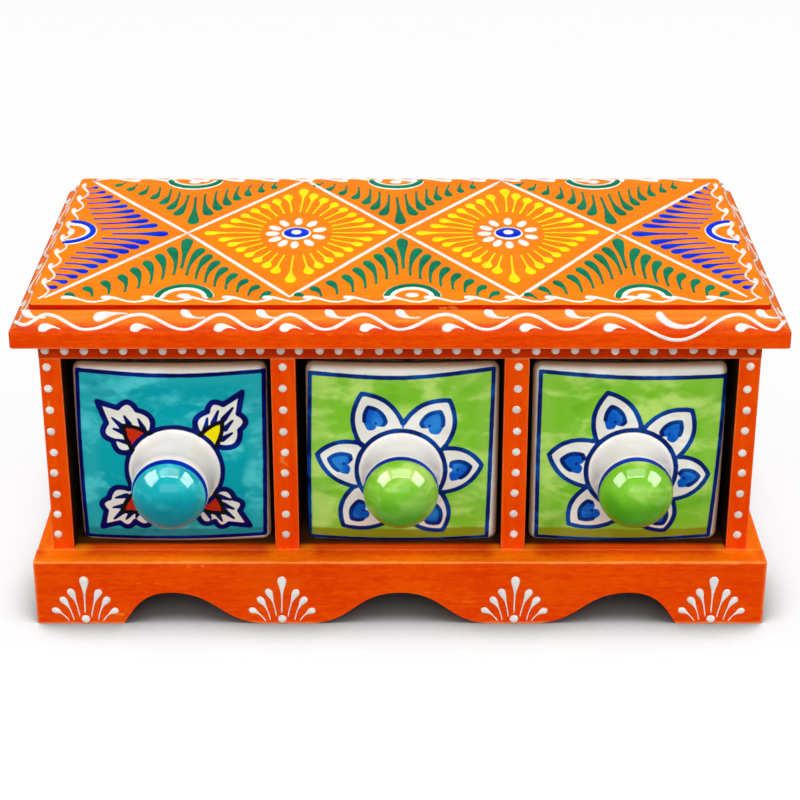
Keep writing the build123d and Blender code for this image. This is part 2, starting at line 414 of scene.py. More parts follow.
def new_material(name):
    """A material with its tree, its shader and the place on the object that patterns follow."""
    material = bpy.data.materials.new(name)
    material.use_nodes = True
    tree = material.node_tree
    shader = tree.nodes["Principled BSDF"]
    place = tree.nodes.new("ShaderNodeTexCoord").outputs["Object"]
    return material, tree, shader, place


def set_relief(tree, shader, height, strength, distance):
    """Bends the shader's normal by a height."""
    bump = put(tree, "ShaderNodeBump", {"Height": height, "Strength": strength, "Distance": distance})
    fill(tree, shader, {"Normal": bump.outputs[0]})


def dress(node, material):
    """Gives a CAD node its one material."""
    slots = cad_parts[node].data.materials
    slots.clear()
    slots.append(material)


def brushed_paint_group():
    """Hand-brushed paint: long streaks between a darker and a lighter tone, soft clouds, and pale scratches.

    Where Wrinkles is above 0, short ridges of thick paint lie along the streaks, in tone and in height.
    """
    tree, given, out = make_group(
        "Brushed paint",
        {"Place": (0.0, 0.0, 0.0), "Stretch": (1.0, 1.0, 1.0), "Dark": [0.5, 0.1, 0.0, 1.0],
         "Light": [1.0, 0.3, 0.0, 1.0], "Scratches": 0.0, "Wrinkles": 0.0},
        {"Colour": "NodeSocketColor", "Roughness": "NodeSocketFloat", "Height": "NodeSocketFloat"})
    place = given["Place"]
    drawn = vector_maths(tree, "MULTIPLY", place, given["Stretch"])
    streaks = noise(tree, drawn, 900.0, 4.0, 0.6)
    clouds = noise(tree, place, 55.0, 3.0, 0.5, 0.4)
    less_drawn = put(tree, "ShaderNodeMix", {0: 0.25, 4: drawn, 5: place}, data_type="VECTOR").outputs[1]
    ridge = minus(tree, noise(tree, less_drawn, 1150.0, 3.0, 0.6, 0.5), 0.5)
    ridge = times(tree, ridge, given["Wrinkles"])
    tone = plus(tree, times(tree, streaks, 0.55), times(tree, clouds, 0.45))
    tone = step_between(tree, plus(tree, tone, ridge), 0.33, 0.68)
    painted = mixed(tree, tone, given["Dark"], given["Light"])
    thin = step_between(tree, noise(tree, drawn, 420.0, 2.0, 0.4, 0.2), 0.66, 0.7)
    broken = step_between(tree, noise(tree, place, 210.0, 2.0, 0.5), 0.57, 0.65)
    scratch = times(tree, times(tree, thin, broken), given["Scratches"])
    pale = mixed(tree, 0.4, given["Light"], [1.0, 0.5, 0.08, 1.0])
    height = plus(tree, streaks, times(tree, clouds, 0.6))
    fill(tree, out, {"Colour": mixed(tree, scratch, painted, pale),
                     "Roughness": plus(tree, 0.34, times(tree, clouds, 0.2)),
                     "Height": plus(tree, height, ridge)})
    return tree


def board_edge_group():
    """How near a place on a board is to one of its edges, from 0 to 1, broken up by noise.

    The distances to the box on the three axes are sorted, and the middle one is the distance to the edge.
    """
    tree, given, out = make_group(
        "Board edges",
        {"Place": (0.0, 0.0, 0.0), "Low": (0.0, 0.0, 0.0), "High": (1.0, 1.0, 1.0), "Width": 0.0008},
        {"Mask": "NodeSocketFloat"})
    gaps = [vector_maths(tree, "ABSOLUTE", vector_maths(tree, "SUBTRACT", first, second)) for first, second in
            ((given["Place"], given["Low"]), (given["High"], given["Place"]))]
    x, y, z = axes(tree, vector_maths(tree, "MINIMUM", *gaps))
    lower = maths(tree, "MINIMUM", x, y)
    upper = maths(tree, "MAXIMUM", x, y)
    middle = maths(tree, "MAXIMUM", lower, maths(tree, "MINIMUM", upper, z))
    broken = times(tree, noise(tree, given["Place"], 160.0, 4.0, 0.65), given["Width"])
    mask = step_between(tree, plus(tree, middle, broken), times(tree, given["Width"], 1.3),
                        times(tree, given["Width"], 0.35))
    fill(tree, out, {"Mask": mask})
    return tree


def glaze_cloud_group():
    """Brushed glaze over white clay: broad soft clouds of thinner and thicker colour, and a slow ripple."""
    tree, given, out = make_group(
        "Glaze clouds", {"Place": (0.0, 0.0, 0.0), "Seed": 0.0},
        {"Tone": "NodeSocketFloat", "Pools": "NodeSocketFloat", "Height": "NodeSocketFloat"})
    shift = put(tree, "ShaderNodeCombineXYZ", {0: given["Seed"], 2: given["Seed"]}).outputs[0]
    place = vector_maths(tree, "ADD", given["Place"], shift)
    stretched = vector_maths(tree, "MULTIPLY", place, (0.75, 1.0, 1.3))
    broad = times(tree, noise(tree, stretched, 80.0, 3.0, 0.5, 0.5), 0.75)
    fine = times(tree, noise(tree, stretched, 230.0, 2.0, 0.5, 0.3), 0.25)
    fill(tree, out, {"Tone": step_between(tree, plus(tree, broad, fine), 0.46, 0.66),
                     "Pools": step_between(tree, noise(tree, stretched, 60.0, 2.0, 0.45, 0.5), 0.54, 0.72),
                     "Height": noise(tree, place, 70.0, 1.0, 0.4)})
    return tree


def drawn_shape_group():
    """A painted shape's mask from the signed distance to its outline in millimetres, by an unsteady hand."""
    tree, given, out = make_group(
        "Drawn shape", {"Place": (0.0, 0.0, 0.0), "Distance": 1.0, "Waver": 0.25},
        {"Mask": "NodeSocketFloat"})
    hand = minus(tree, noise(tree, given["Place"], 330.0, 2.0, 0.5), 0.5)
    distance = plus(tree, given["Distance"], times(tree, hand, given["Waver"]))
    softness = 0.12
    fill(tree, out, {"Mask": step_between(tree, distance, softness, -softness)})
    return tree


brushed_paint = brushed_paint_group()
board_edges = board_edge_group()
glaze_clouds = glaze_cloud_group()
drawn_shape = drawn_shape_group()


# Paints

# How deep the paint's height is, in metres, and how glossy the shaders' sockets make each finish
paint_relief = 0.2 * MM
glaze_relief = 0.6 * MM
stroke_gloss = 0.008
paint_gloss = 0.016
steel_gloss = 0.5

# Which way the streaks run
along_x = (0.05, 0.5, 1.0)
along_y = (0.5, 0.05, 1.0)
along_z = (0.6, 0.6, 0.06)


def stroke_paint(name, dark, light):
    """Thick paint of the decoration, a little uneven where the brush left more or less of it."""
    material, tree, shader, place = new_material(name)
    paint = use_group(tree, brushed_paint,
                      {"Place": place, "Stretch": (0.35, 0.35, 0.35), "Dark": dark, "Light": light})
    fill(tree, shader, {"Base Color": paint["Colour"], "Roughness": 0.36, "Specular IOR Level": stroke_gloss})
    set_relief(tree, shader, paint["Height"], 0.25, paint_relief)
    return material


# Three copies of one white paint: white_paint for the lid's field, and greyer copies for the border, the feet
# and the dots on upright faces, which stand for their shade: painted shade.
shaded_trim_white = stroke_paint("shaded_trim_white", colour(224, 223, 218), colour(240, 240, 236))
white_paint = stroke_paint("white_paint", colour(240, 236, 230), colour(255, 255, 252))
shaded_dot_white = stroke_paint("shaded_dot_white", colour(206, 200, 192), colour(240, 236, 228))
green_paint = stroke_paint("green_paint", colour(0, 110, 76), colour(0, 138, 96))
blue_paint = stroke_paint("blue_paint", colour(0, 36, 204), colour(0, 66, 232))
yellow_paint = stroke_paint("yellow_paint", colour(255, 224, 0), colour(255, 246, 30))

# Pairs of a dark and a light tone. Apart from wall_orange and steel, they are lit and shaded copies of the
# orange paint and of the bare wood: painted light and painted shade.
wall_orange = (colour(227, 60, 0), colour(236, 83, 0))
shaded_rail_orange = (colour(186, 46, 0), colour(202, 56, 0))
lit_ledge_orange = (colour(252, 104, 0), colour(255, 132, 6))
drawer_shadow_red = (colour(212, 50, 0), colour(236, 68, 0))
shaded_slope_foot = (colour(204, 58, 0), colour(222, 74, 0))
lit_slope_orange = (colour(244, 112, 20), colour(255, 140, 38))
shaded_step_red = (colour(160, 18, 0), colour(210, 38, 0))
lit_field_orange = (colour(250, 126, 0), colour(255, 142, 6))
# Bare wood inside the case, as a near-black shaded copy for the bays (painted shade) and a lit copy for their
# floor (painted light)
shaded_raw_wood = (colour(18, 11, 6), colour(58, 37, 20))
lit_raw_wood = (colour(46, 20, 2), colour(100, 56, 18))
steel = (colour(112, 112, 116), colour(176, 176, 180))

# Tones by height: each holds from its height up, and the second number is half of the blend there. The
# lighter tones on the ledge and on the lid's slope and field are painted light. The darker ones on the lid's
# step and at its arris are painted shade.
lid_arris = lid_low[2] + lid_arris_height
wall_tones = [(0, 0, wall_orange)]
plinth_tones = [(0, 0, wall_orange), (ledge_height - 0.35, 0.15, lit_ledge_orange)]
lid_tones = [(0, 0, wall_orange), (lid_arris - 0.7, 0.5, shaded_slope_foot), (lid_arris + 1.3, 1.3, lit_slope_orange),
             (lid_low[2] + lid_border_height - 0.05, 0.1, shaded_step_red), (lid_high[2] - 0.14, 0.08, lit_field_orange)]

# Where the ledge is painted deeper red in front of the drawers, as their painted shadow: its middle, and how
# far apart they are
drawer_shadow_middle = 0.8
drawer_shadow_pitch = 72.7


def end_slope(tree, x, y, z):
    """A mask of the border's slope at the lid's two ends, which keeps the slope's lighter orange, painted
    light, right down to the arris.
    """
    end_gap = minus(tree, lid_half_width * MM, maths(tree, "ABSOLUTE", x))
    side_gap = minus(tree, lid_half_depth * MM, maths(tree, "ABSOLUTE", minus(tree, y, lid_middle * MM)))
    nearer_end = step_between(tree, minus(tree, side_gap, end_gap), -0.2 * MM, 0.3 * MM)
    above_arris = step_between(tree, z, (lid_arris - 0.6) * MM, (lid_arris + 0.2) * MM)
    outside_step = step_between(tree, end_gap, lid_border_inset * MM, (lid_border_inset - 0.3) * MM)
    return times(tree, times(tree, nearer_end, above_arris), outside_step)


def drawer_shadow_ledge(tree, x, y, z):
    """A mask of the drawers' painted shadow on the ledge in front of each drawer. x is folded back and forth
    over every half pitch.
    """
    across = maths(tree, "PINGPONG", minus(tree, x, drawer_shadow_middle * MM), drawer_shadow_pitch / 2 * MM)
    before_drawer = step_between(tree, across, 31.5 * MM, 26.5 * MM)
    near_case = step_between(tree, y, (case_front - 8.0) * MM, (case_front - 1.0) * MM)
    on_top = step_between(tree, z, (ledge_height - 0.5) * MM, (ledge_height - 0.2) * MM)
    return times(tree, times(tree, before_drawer, near_case), on_top)


def inside_case(tree, x, y, fade):
    """A mask of what lies inside the case. The paint fades out over fade millimetres behind the front."""
    from_side = minus(tree, case_half_width * MM, maths(tree, "ABSOLUTE", x))
    from_outside = maths(tree, "MINIMUM", from_side, minus(tree, case_rear * MM, y))
    behind_front = step_between(tree, minus(tree, y, case_front * MM), fade * 0.6 * MM, fade * 1.4 * MM)
    return times(tree, step_between(tree, from_outside, 0.3 * MM, 0.7 * MM), behind_front)


def board_paint(node, streak, tones, edge_wear=0.35, wear_width=0.7, raw=shaded_raw_wood, raw_from=0.5,
                wrinkles=0.2, rough_below=None):
    """Orange paint on one board: tones by height that paint light and shade by how each face is lit, streaks
    along it, worn edges, and raw wood inside the case.

    raw holds the bare wood's two tones, made darker or lighter to stand for the shade and light inside the
    case, or None for a board outside the case, and the paint fades into it over raw_from millimetres behind
    the case's front. wrinkles says how wrinkled the paint is, everywhere or only below rough_below.
    """
    low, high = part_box(node)
    material, tree, shader, place = new_material(node + "_paint")
    x, y, z = axes(tree, place)
    tone = tones[0][2]
    for height, blend, next_tone in tones[1:]:
        above = step_between(tree, z, (height - blend) * MM, (height + blend) * MM)
        tone = mixed_pairs(tree, above, tone, next_tone)
    if node == "lid_board":
        tone = mixed_pairs(tree, end_slope(tree, x, y, z), tone, lit_slope_orange)
    if node in ("apron_front", "base_board"):
        # In front of each drawer the ledge is painted a deeper red: the drawer's painted shadow.
        tone = mixed_pairs(tree, times(tree, drawer_shadow_ledge(tree, x, y, z), 0.85), tone, drawer_shadow_red)
    if rough_below:
        below = step_between(tree, z, (rough_below + 1.0) * MM, (rough_below - 1.0) * MM)
        wrinkles = times(tree, below, wrinkles)
    brushed = {"Place": place, "Stretch": streak}
    paint = use_group(tree, brushed_paint, {**brushed, "Dark": tone[0], "Light": tone[1], "Scratches": 0.6,
                                            "Wrinkles": wrinkles})
    box = {"Place": place, "Low": low, "High": high, "Width": wear_width * MM}
    edge = use_group(tree, board_edges, box)["Mask"]
    worn = mixed(tree, 0.6, tone[1], colour(255, 196, 124))
    shade = mixed(tree, times(tree, edge, edge_wear), paint["Colour"], worn)
    # Inside the case the paint gives way to bare wood in tones that stand for its shade: painted shade
    if raw:
        grain = use_group(tree, brushed_paint, {**brushed, "Dark": raw[0], "Light": raw[1]})
        shade = mixed(tree, inside_case(tree, x, y, raw_from), shade, grain["Colour"])
    fill(tree, shader, {"Base Color": shade, "Roughness": paint["Roughness"],
                        "Specular IOR Level": paint_gloss})
    set_relief(tree, shader, paint["Height"], 0.35, paint_relief)
    dress(node, material)


board_paint("lid_board", along_x, lid_tones, raw=None, wrinkles=0.7, rough_below=lid_arris + 1.5)
# The rail under the lid is painted a darker orange: painted shade.
board_paint("top_board", along_x, [(0, 0, shaded_rail_orange)])
# The ledge is painted a lighter orange and the bays' floor a lit copy of the bare wood: painted light.
board_paint("base_board", along_x, [(0, 0, lit_ledge_orange)], edge_wear=0.1, raw=lit_raw_wood, raw_from=3.4)
for node in ("back_panel", "side_panel_left", "side_panel_right", "divider_left", "divider_right"):
    board_paint(node, along_z, wall_tones)
for node, streak, wear in (("apron_front", along_x, 0.55), ("apron_rear", along_x, 0.55),
                           ("apron_left", along_y, 0.1), ("apron_right", along_y, 0.1)):
    board_paint(node, streak, plinth_tones, edge_wear=wear, wear_width=1.3, raw=None, wrinkles=0.7)


def brad_finish(node, painted):
    """Small nails: under paint where they go through a painted face, bare steel elsewhere."""
    material, tree, shader, place = new_material(node + "_finish")
    dark, light = wall_orange if painted else steel
    paint = use_group(tree, brushed_paint, {"Place": place, "Stretch": along_x, "Dark": dark, "Light": light,
                                            "Scratches": 0.8})
    fill(tree, shader, {"Base Color": paint["Colour"], "Roughness": paint["Roughness"],
                        "Metallic": 0.0 if painted else 1.0,
                        "Specular IOR Level": paint_gloss if painted else steel_gloss})
    set_relief(tree, shader, paint["Height"], 0.35, paint_relief)
    dress(node, material)


for node, painted in (("top_brads", True), ("lid_brads", False), ("base_brads", False),
                      ("back_brads", True), ("apron_brads", True)):
    brad_finish(node, painted)


# The lid's field: a lattice of white lines with fans of brush drops in its parts

left_crossing = (-71.0, 3.1)
middle_crossing = (0.3, 4.0)
right_crossing = (72.5, 3.1)
rear_points = [(-109.8, 56.9), (-33.7, 57.5), (36.3, 56.9), (110.5, 54.2)]
front_points = [(-109.9, -54.2), (-34.2, -53.5), (37.0, -53.5), (107.4, -53.5)]

lattice_lines = []
for number, crossing in enumerate((left_crossing, middle_crossing, right_crossing)):
    for ends in (rear_points, front_points):
        lattice_lines += [[crossing, ends[number]], [crossing, ends[number + 1]]]
lattice = brush_lines([field_measure(line) for line in lattice_lines], 0.72)
paint_on_case("lid_lattice", [on_lid(lattice, 0.3)], white_paint)


def fan(left_heads, left_tails, apex, right_heads, right_tails, counts):
    """Heads and tails of a fan's drops, evenly spaced along a guide line on each side of its apex drop."""
    heads = np.concatenate([spaced(left_heads, counts[0]), [apex[0]], spaced(right_heads, counts[1])])
    tails = np.concatenate([spaced(left_tails, counts[0]), [apex[1]], spaced(right_tails, counts[1])])
    return heads, tails


def either_side(outermost, apex, innermost, count, turned=1):
    """One number for each of a fan's drops: even steps from the outermost in to its apex, and out again."""
    steps = np.linspace(outermost, innermost, count)
    return np.concatenate([steps, [apex], turned * steps[::-1]])


front_fan = fan(
    [(-32.4, -51.5), (-18.2, -37.5), (-4.4, -12.5)], [(-29.8, -55.0), (-13.6, -49.0), (-1.6, -35.0)],
    ((0.0, -5.0), (0.4, -29.5)),
    [(5.0, -13.5), (15.5, -33.0), (29.0, -50.5)], [(2.6, -35.5), (12.0, -44.7), (27.0, -55.0)], (8, 8))
rear_fan = fan(
    [(-29.9, 51.9), (-13.9, 37.2), (-5.9, 22.7)], [(-27.6, 55.0), (-11.3, 48.3), (-4.1, 41.6)],
    ((0.0, 14.5), (-1.3, 39.0)),
    [(4.4, 22.7), (14.8, 40.2), (25.6, 49.5)], [(1.8, 42.5), (14.2, 51.3), (26.0, 55.5)], (7, 7))

# For each row of fans: a fan, its drops on each side, its places, the outermost and innermost drop's
# size, how far the drops bend, and how they narrow to their tails
fan_rows = ((front_fan, 8, (-70.3, 0.7, 72.0), (1.5, 1.8), 0.17, (0.4, 0.27)),
            (rear_fan, 7, (-70.1, 0.2, 71.6), (1.35, 1.85), -0.15, (0.36, 0.24)))
green_strokes = []
for drops, count, places, (outermost, innermost), bow, narrowing in fan_rows:
    size = either_side(outermost, 2.1, innermost, count)
    bows = either_side(bow, 0.0, bow * 0.5, count, turned=-1)
    for apex_x in places:
        heads, tails = (field_measure(part + (apex_x, 0)) for part in drops)
        green_strokes.append(on_lid(brush_drops(heads, tails, size, bows, *narrowing), 0.35))

end_fan = fan([(-107.9, 49.2), (-97.0, 32.4), (-88.1, 16.6), (-83.4, 10.4)],
              [(-110.5, 48.3), (-109.0, 34.3), (-104.6, 17.7), (-100.3, 7.0)],
              ((-79.3, 2.4), (-96.0, 2.4)),
              [(-84.5, -5.5), (-95.2, -21.9), (-108.4, -45.5)],
              [(-99.0, -1.9), (-106.0, -15.9), (-110.0, -34.0), (-112.0, -44.0)], (9, 10))
# On the right the rear drops lean more towards the ring
right_tails = spaced([(-109.5, 46.0), (-107.5, 31.0), (-107.2, 21.5), (-102.2, 12.0), (-101.0, 8.0)], 9)
right_end_fan = (end_fan[0], np.concatenate([right_tails, end_fan[1][9:]]))
size = np.concatenate([np.linspace(1.1, 1.7, 9), [2.0], np.linspace(1.85, 1.3, 10)])
bows = np.concatenate([np.full(9, 0.04), [0.0], np.full(10, -0.05)])
blue_strokes = []
for mirror, drops in ((1, end_fan), (-1, right_end_fan)):
    heads, tails = (field_measure(part * (mirror, 1)) for part in drops)
    blue_strokes.append(on_lid(brush_drops(heads, tails, size, mirror * bows, 0.3, 0.26), 0.35))

# The yellow suns in the two whole lozenges: drops from a ring of heads to an oval of tails round the middle
sun_heads = np.concatenate([
    spaced([(0.7, 42.0), (13.4, 26.0), (24.3, 7.6)], 8), [(28.8, 0.9)],
    spaced([(23.9, -5.5), (16.2, -17.8), (5.5, -34.9)], 7), [(0.0, -42.0)],
    spaced([(-5.1, -34.4), (-15.4, -18.6), (-24.0, -6.0)], 7), [(-29.2, 0.0)],
    spaced([(-24.4, 7.0), (-13.4, 25.0), (-4.5, 36.0)], 7)])
sun_tails = sun_heads / np.sqrt((sun_heads[:, 0] / 12) ** 2 + (sun_heads[:, 1] / 21) ** 2)[:, None]
sun_sizes = np.interp(np.abs(sun_heads[:, 1]), [0, 42], [1.55, 2.0])
sun_middles = ((-34.6, 3.1), (36.2, 3.1))

# The flower in a sun's middle: a rim of oval petals, a white disc, a blue one on it and a white dot on top
petal_turns = np.radians(np.concatenate([np.linspace(88, -91, 6), [-120, -148, -177, -205, -236]]))
petal_rim = np.stack([8.0 * np.cos(petal_turns), 8.1 * np.sin(petal_turns)], axis=1)
yellow_strokes, sun_whites, sun_blues = [], [], []
for middle in sun_middles:
    heads, tails = field_measure(sun_heads + middle), field_measure(sun_tails + middle)
    core = field_measure([middle])
    yellow_strokes.append(on_lid(brush_drops(heads, tails, sun_sizes, 0.02, 0.2, 0.19), 0.35))
    sun_whites += [on_lid(ovals(petal_rim + core, petal_rim, 2.35, 1.55), 0.4),
                   on_lid(ovals(core, [(1, 0)], 4.95, 4.8, 15), 0.25),
                   on_lid(ovals(core, [(1, 0)], 2.1, 2.1, 11), 0.6)]
    sun_blues.append(on_lid(ovals(core, [(1, 0)], 4.3, 4.15, 15), 0.45))


def ring_line(middle, rise, span, towards, half_width):
    """A half ellipse's brush line: rise along towards and half span across it, from -90 to 90 degrees."""
    turn = np.radians(np.linspace(-90, 90, 15))
    towards = np.asarray(towards, float)
    across = np.array([towards[1], -towards[0]])
    bend = np.outer(np.cos(turn), towards * rise) + np.outer(np.sin(turn), across * span)
    return brush_lines([field_measure([middle]) + bend], half_width, 26)


# The half rings on the field's margins: middle, the way it opens, half span and rise
green_rings = [
    ((-67.0, -54.6), (0, 1), 8.2, 7.2), ((3.8, -54.0), (0, 1), 7.9, 7.0), ((75.6, -54.6), (0, 1), 8.0, 7.2),
    ((-73.1, 57.4), (0, -1), 8.8, 5.8), ((-1.4, 57.4), (0, -1), 8.8, 5.8), ((69.0, 57.4), (0, -1), 8.8, 5.8)]
blue_rings = [((-111.4, 4.0), (1, 0), 7.2, 8.6), ((112.0, 4.0), (-1, 0), 7.2, 8.6)]
ring_whites = []
for strokes, rings in ((green_strokes, green_rings), (sun_blues, blue_rings)):
    for middle, towards, span, rise in rings:
        strokes.append(on_lid(ring_line(middle, rise, span, towards, 1.2), 0.5))
        bulb = field_measure([middle]) + np.asarray(towards) * 1.4
        ring_whites += [on_lid(ring_line(middle, rise - 0.4, span - 0.5, towards, 2.1), 0.22),
                        on_lid(ovals(bulb, [(towards[1], towards[0])], 2.1, 1.3), 0.45)]

paint_on_case("lid_green_fans", green_strokes, green_paint)
paint_on_case("lid_blue_fans", blue_strokes, blue_paint)
paint_on_case("lid_blue_rings", sun_blues, blue_paint)
paint_on_case("lid_yellow_suns", yellow_strokes, yellow_paint)
paint_on_case("lid_flower_petals", sun_whites, white_paint)
paint_on_case("lid_half_rings", ring_whites, white_paint)


def margin_scrolls(start, end, inward, count, swing, head=0.95):
    """Scrolls along a margin: a round head, a dip towards the edge, and a thin tail that rises again."""
    start, end, inward = (np.asarray(part, float) for part in (start, end, inward))
    share = np.arange(count)[:, None] / count
    step = (end - start) / count
    heads = start + share * (end - start) + inward * swing
    tails = heads + step * 1.2 - inward * swing * 0.25
    pulls = (heads + step * 0.5 + inward * swing * 0.3, heads + step * 0.6 - inward * swing * 3.2)
    return brush_drops(heads, tails, head, 0.0, 0.2, 0.44, pulls)


margin_vines = [
    margin_scrolls((-104, -41.0), (108, -41.0), (0, 1), 17, 1.9),
    margin_scrolls((104, 42.4), (-106, 42.4), (0, -1), 17, 1.2),
    margin_scrolls((-110.3, 38), (-110.3, -38), (1, 0), 8, -1.9, 0.9),
    margin_scrolls((110.3, 38), (110.3, -38), (-1, 0), 8, -1.9, 0.9)]
paint_on_case("lid_margin_vine", [on_lid(vine, 0.4) for vine in margin_vines], white_paint)

# The border: a long waving line with drops above and below it
front_crests = [-108.4, -79.8, -54.7, -33.8, -11.2, 14.0, 39.0, 63.9, 103.8]
front_troughs = [-115.4, -96.2, -66.0, -44.0, -22.9, 0.0, 26.6, 51.0, 85.0, 114.6]
front_above = [-114.8, -66.0, -42.8, -21.7, 0.0, 27.2, 52.0, 110.6]
front_below = [-109.2, -81.0, -55.4, -35.3, -10.7, 14.4, 38.2, 63.9, 104.2]


def wave_path(turns, heights, steps_each):
    """A wave through its crests and troughs, each span half a cosine."""
    t = np.linspace(0, 1, steps_each, endpoint=False)
    ease = (1 - np.cos(math.pi * t)) / 2
    turns, heights = np.asarray(turns, float), np.asarray(heights, float)
    along = (turns[:-1, None] + np.diff(turns)[:, None] * t).ravel()
    across = (heights[:-1, None] + np.diff(heights)[:, None] * ease).ravel()
    return np.stack([np.append(along, turns[-1]), np.append(across, heights[-1])], axis=1)


def border_vine(side, crests, troughs, above, below, reach, half_width=0.64, deep=None):
    """The waving line and its drops on one side of the border, v measured down from the step.

    deep gives some troughs a height of their own.
    """
    surface = lid_border(side)
    turns = sorted(crests + troughs)
    low = {**dict.fromkeys(troughs, 6.6), **(deep or {})}
    heights = [low.get(turn, 1.6) for turn in turns]
    path = wave_path([-reach] + turns + [reach], [4.0] + heights + [3.9], 18)
    widths = np.full(len(path), half_width)
    widths[[0, -1]] = half_width * 0.4
    above, below = np.array([(u, 1.0) for u in above]), np.array([(u, 6.1) for u in below])
    upper = brush_drops(above, above + (6.2, 1.5), 1.5, 0.2, 0.32, 0.2)
    lower = brush_drops(below, below + (5.2, 0.4), 1.7, -0.2, 0.42, 0.12)
    return [ridges(path[None], widths[None], 0.3, surface), ridges(*upper, 0.4, surface),
            ridges(*lower, 0.45, surface)]


end_crests = [-50.0, -18.0, 14.0, 46.0]
end_troughs = [-34.0, -2.0, 30.0]
end_above = [trough - 2.0 for trough in end_troughs]
end_below = [crest - 2.0 for crest in end_crests]
border_strokes = border_vine("front", front_crests, front_troughs, front_above, front_below, 118.4,
                             deep={-115.4: 5.0, 85.0: 10.3, 114.6: 6.8})
crescent_pulls = (np.array([[82.5, 6.6]]), np.array([[89.5, 7.2]]))
for single_drop in (brush_drops([(79.7, 1.9)], [(93.8, 2.4)], 1.35, 0.0, 0.6, 0.3, crescent_pulls),
                    brush_drops([(-92.4, 2.4)], [(-83.6, 1.3)], 1.75, -0.08, 0.45, 0.15)):
    border_strokes.append(ridges(*single_drop, 0.45, lid_border("front")))
border_strokes += border_vine("back", front_crests, front_troughs, front_above, front_below, 117.2)
for side in ("left", "right"):
    border_strokes += border_vine(side, end_crests, end_troughs, end_above, end_below, 63.0, 0.52)
paint_on_case("lid_border_vine", [mirrored_faces(mesh) for mesh in border_strokes], shaded_trim_white)


# The case: dots along the rail and the posts, and a fan of drops over each foot

hand = np.random.default_rng(7)
rail_height = 93.1


def dot_row(start, end, count):
    """Dots from start to end, each set down a little beside its mark."""
    row = np.linspace(start, end, count)
    return row + hand.normal(0, 0.15, row.shape)


def case_dots(places, surface):
    """The round dots of rail and posts."""
    return dots(places, 1.38, 0.55, surface)


front_face = upright_face("front", -case_front)
rail_dots = [case_dots(dot_row((-110.4, rail_height), (109.4, rail_height), 37), front_face)]
for side in ("left", "right"):
    ends = (case_front + 3.5, case_rear - 3.5) if side == "right" else (-case_rear + 3.5, -case_front - 3.5)
    row = dot_row((ends[0], rail_height), (ends[1], rail_height), 19)
    rail_dots.append(case_dots(row, upright_face(side, case_half_width)))
paint_on_case("rail_dots", rail_dots, shaded_dot_white)

post_rows = [dot_row((x_top, 87.5), (x_foot, 28.2), 9) for x_top, x_foot in
             ((-110.1, -110.4), (-36.6, -36.9), (36.9, 36.8), (109.0, 109.2))]
paint_on_case("post_dots", [case_dots(np.concatenate(post_rows), front_face)], shaded_dot_white)


def foot_fan(middle, face):
    """Seven drops spread over a foot like a palm leaf."""
    heads = [(-9.6, 4.9), (-6.9, 8.8), (-4.2, 11.7), (0.2, 15.9), (4.6, 11.5), (7.2, 8.8), (9.6, 4.7)]
    tails = [(-5.4, 1.0), (-3.9, 1.3), (-1.9, 2.7), (-0.1, 4.0), (1.9, 2.5), (4.1, 1.3), (5.7, 1.0)]
    radius = [1.25, 1.3, 1.35, 1.6, 1.35, 1.3, 1.25]
    bow = [0.12, 0.1, 0.06, 0.0, -0.06, -0.1, -0.12]
    drops = brush_drops(np.add(heads, (middle, 0)), np.add(tails, (middle, 0)), radius, bow, 0.27, 0.16)
    return ridges(*drops, 0.4, face)


# The fans at the front also have a dot at their root
apron_face = upright_face("front", -apron_low[1])
rear_face = upright_face("back", rear_apron_high[1])
foot_middles = (-102.2, -38.3, 37.1, 101.1)
fans = [foot_fan(middle, face) for face in (apron_face, rear_face) for middle in foot_middles]
fans.append(dots([(middle, 1.7) for middle in foot_middles], 1.45, 0.5, apron_face))
end_feet = (end_apron_low[1] + 13.0, end_apron_high[1] - 13.0)
for side, turn in (("left", -1), ("right", 1)):
    fans += [foot_fan(turn * foot, upright_face(side, end_apron_high[0])) for foot in end_feet]
paint_on_case("foot_fans", fans, shaded_trim_white)


def end_flower(side):
    """A plain flower of drops in the middle of the case's end, in a ring of dots."""
    face = upright_face(side, case_half_width)
    middle = np.array([case_middle if side == "right" else -case_middle, 57.0])
    turn = np.radians(np.arange(16) * 22.5)
    spoke = np.stack([np.cos(turn), np.sin(turn)], axis=1)
    drops = ridges(*brush_drops(middle + spoke * 19, middle + spoke * 9.5, 1.7, 0.03, 0.3, 0.2), 0.4, face)
    return [drops, dots(middle + spoke * 26, 1.3, 0.5, face), dots([middle], 3.4, 0.6, face)]


paint_on_case("end_flowers", end_flower("left") + end_flower("right"), white_paint)


# Drawings on the ceramic fronts, in millimetres from the middle of each knob

arch_points = 12


def arched(start, end, bulge, away_from):
    """A line pushed away from a point by bulge × its length × sin(π·t) to the power 0.85."""
    start, end = np.asarray(start, float), np.asarray(end, float)
    t = np.linspace(0, 1, arch_points)[:, None]
    run = end - start
    normal = np.array([run[1], -run[0]])
    if np.dot(normal, (start + end) / 2 - away_from) < 0:
        normal = -normal
    return start + run * t + normal * bulge * np.sin(math.pi * t) ** 0.85


def outline(corners, bulges):
    """Arched lines from corner to corner and back to the first, pushed out from the shape's middle."""
    corners = np.asarray(corners, float)
    middle = corners.mean(axis=0)
    ends = np.roll(corners, -1, axis=0)
    return np.concatenate([arched(*side, middle) for side in zip(corners, ends, bulges)])


def distance_to(points, line):
    """The distance from each point to a bent line: the nearest over all its straight pieces."""
    best = np.full(len(points), 1e9)
    for start, end in zip(line[:-1], line[1:]):
        run = end - start
        length = max(run @ run, 1e-12)
        t = np.clip(((points - start) @ run) / length, 0, 1)
        best = np.minimum(best, np.linalg.norm(points - start - t[:, None] * run, axis=1))
    return best


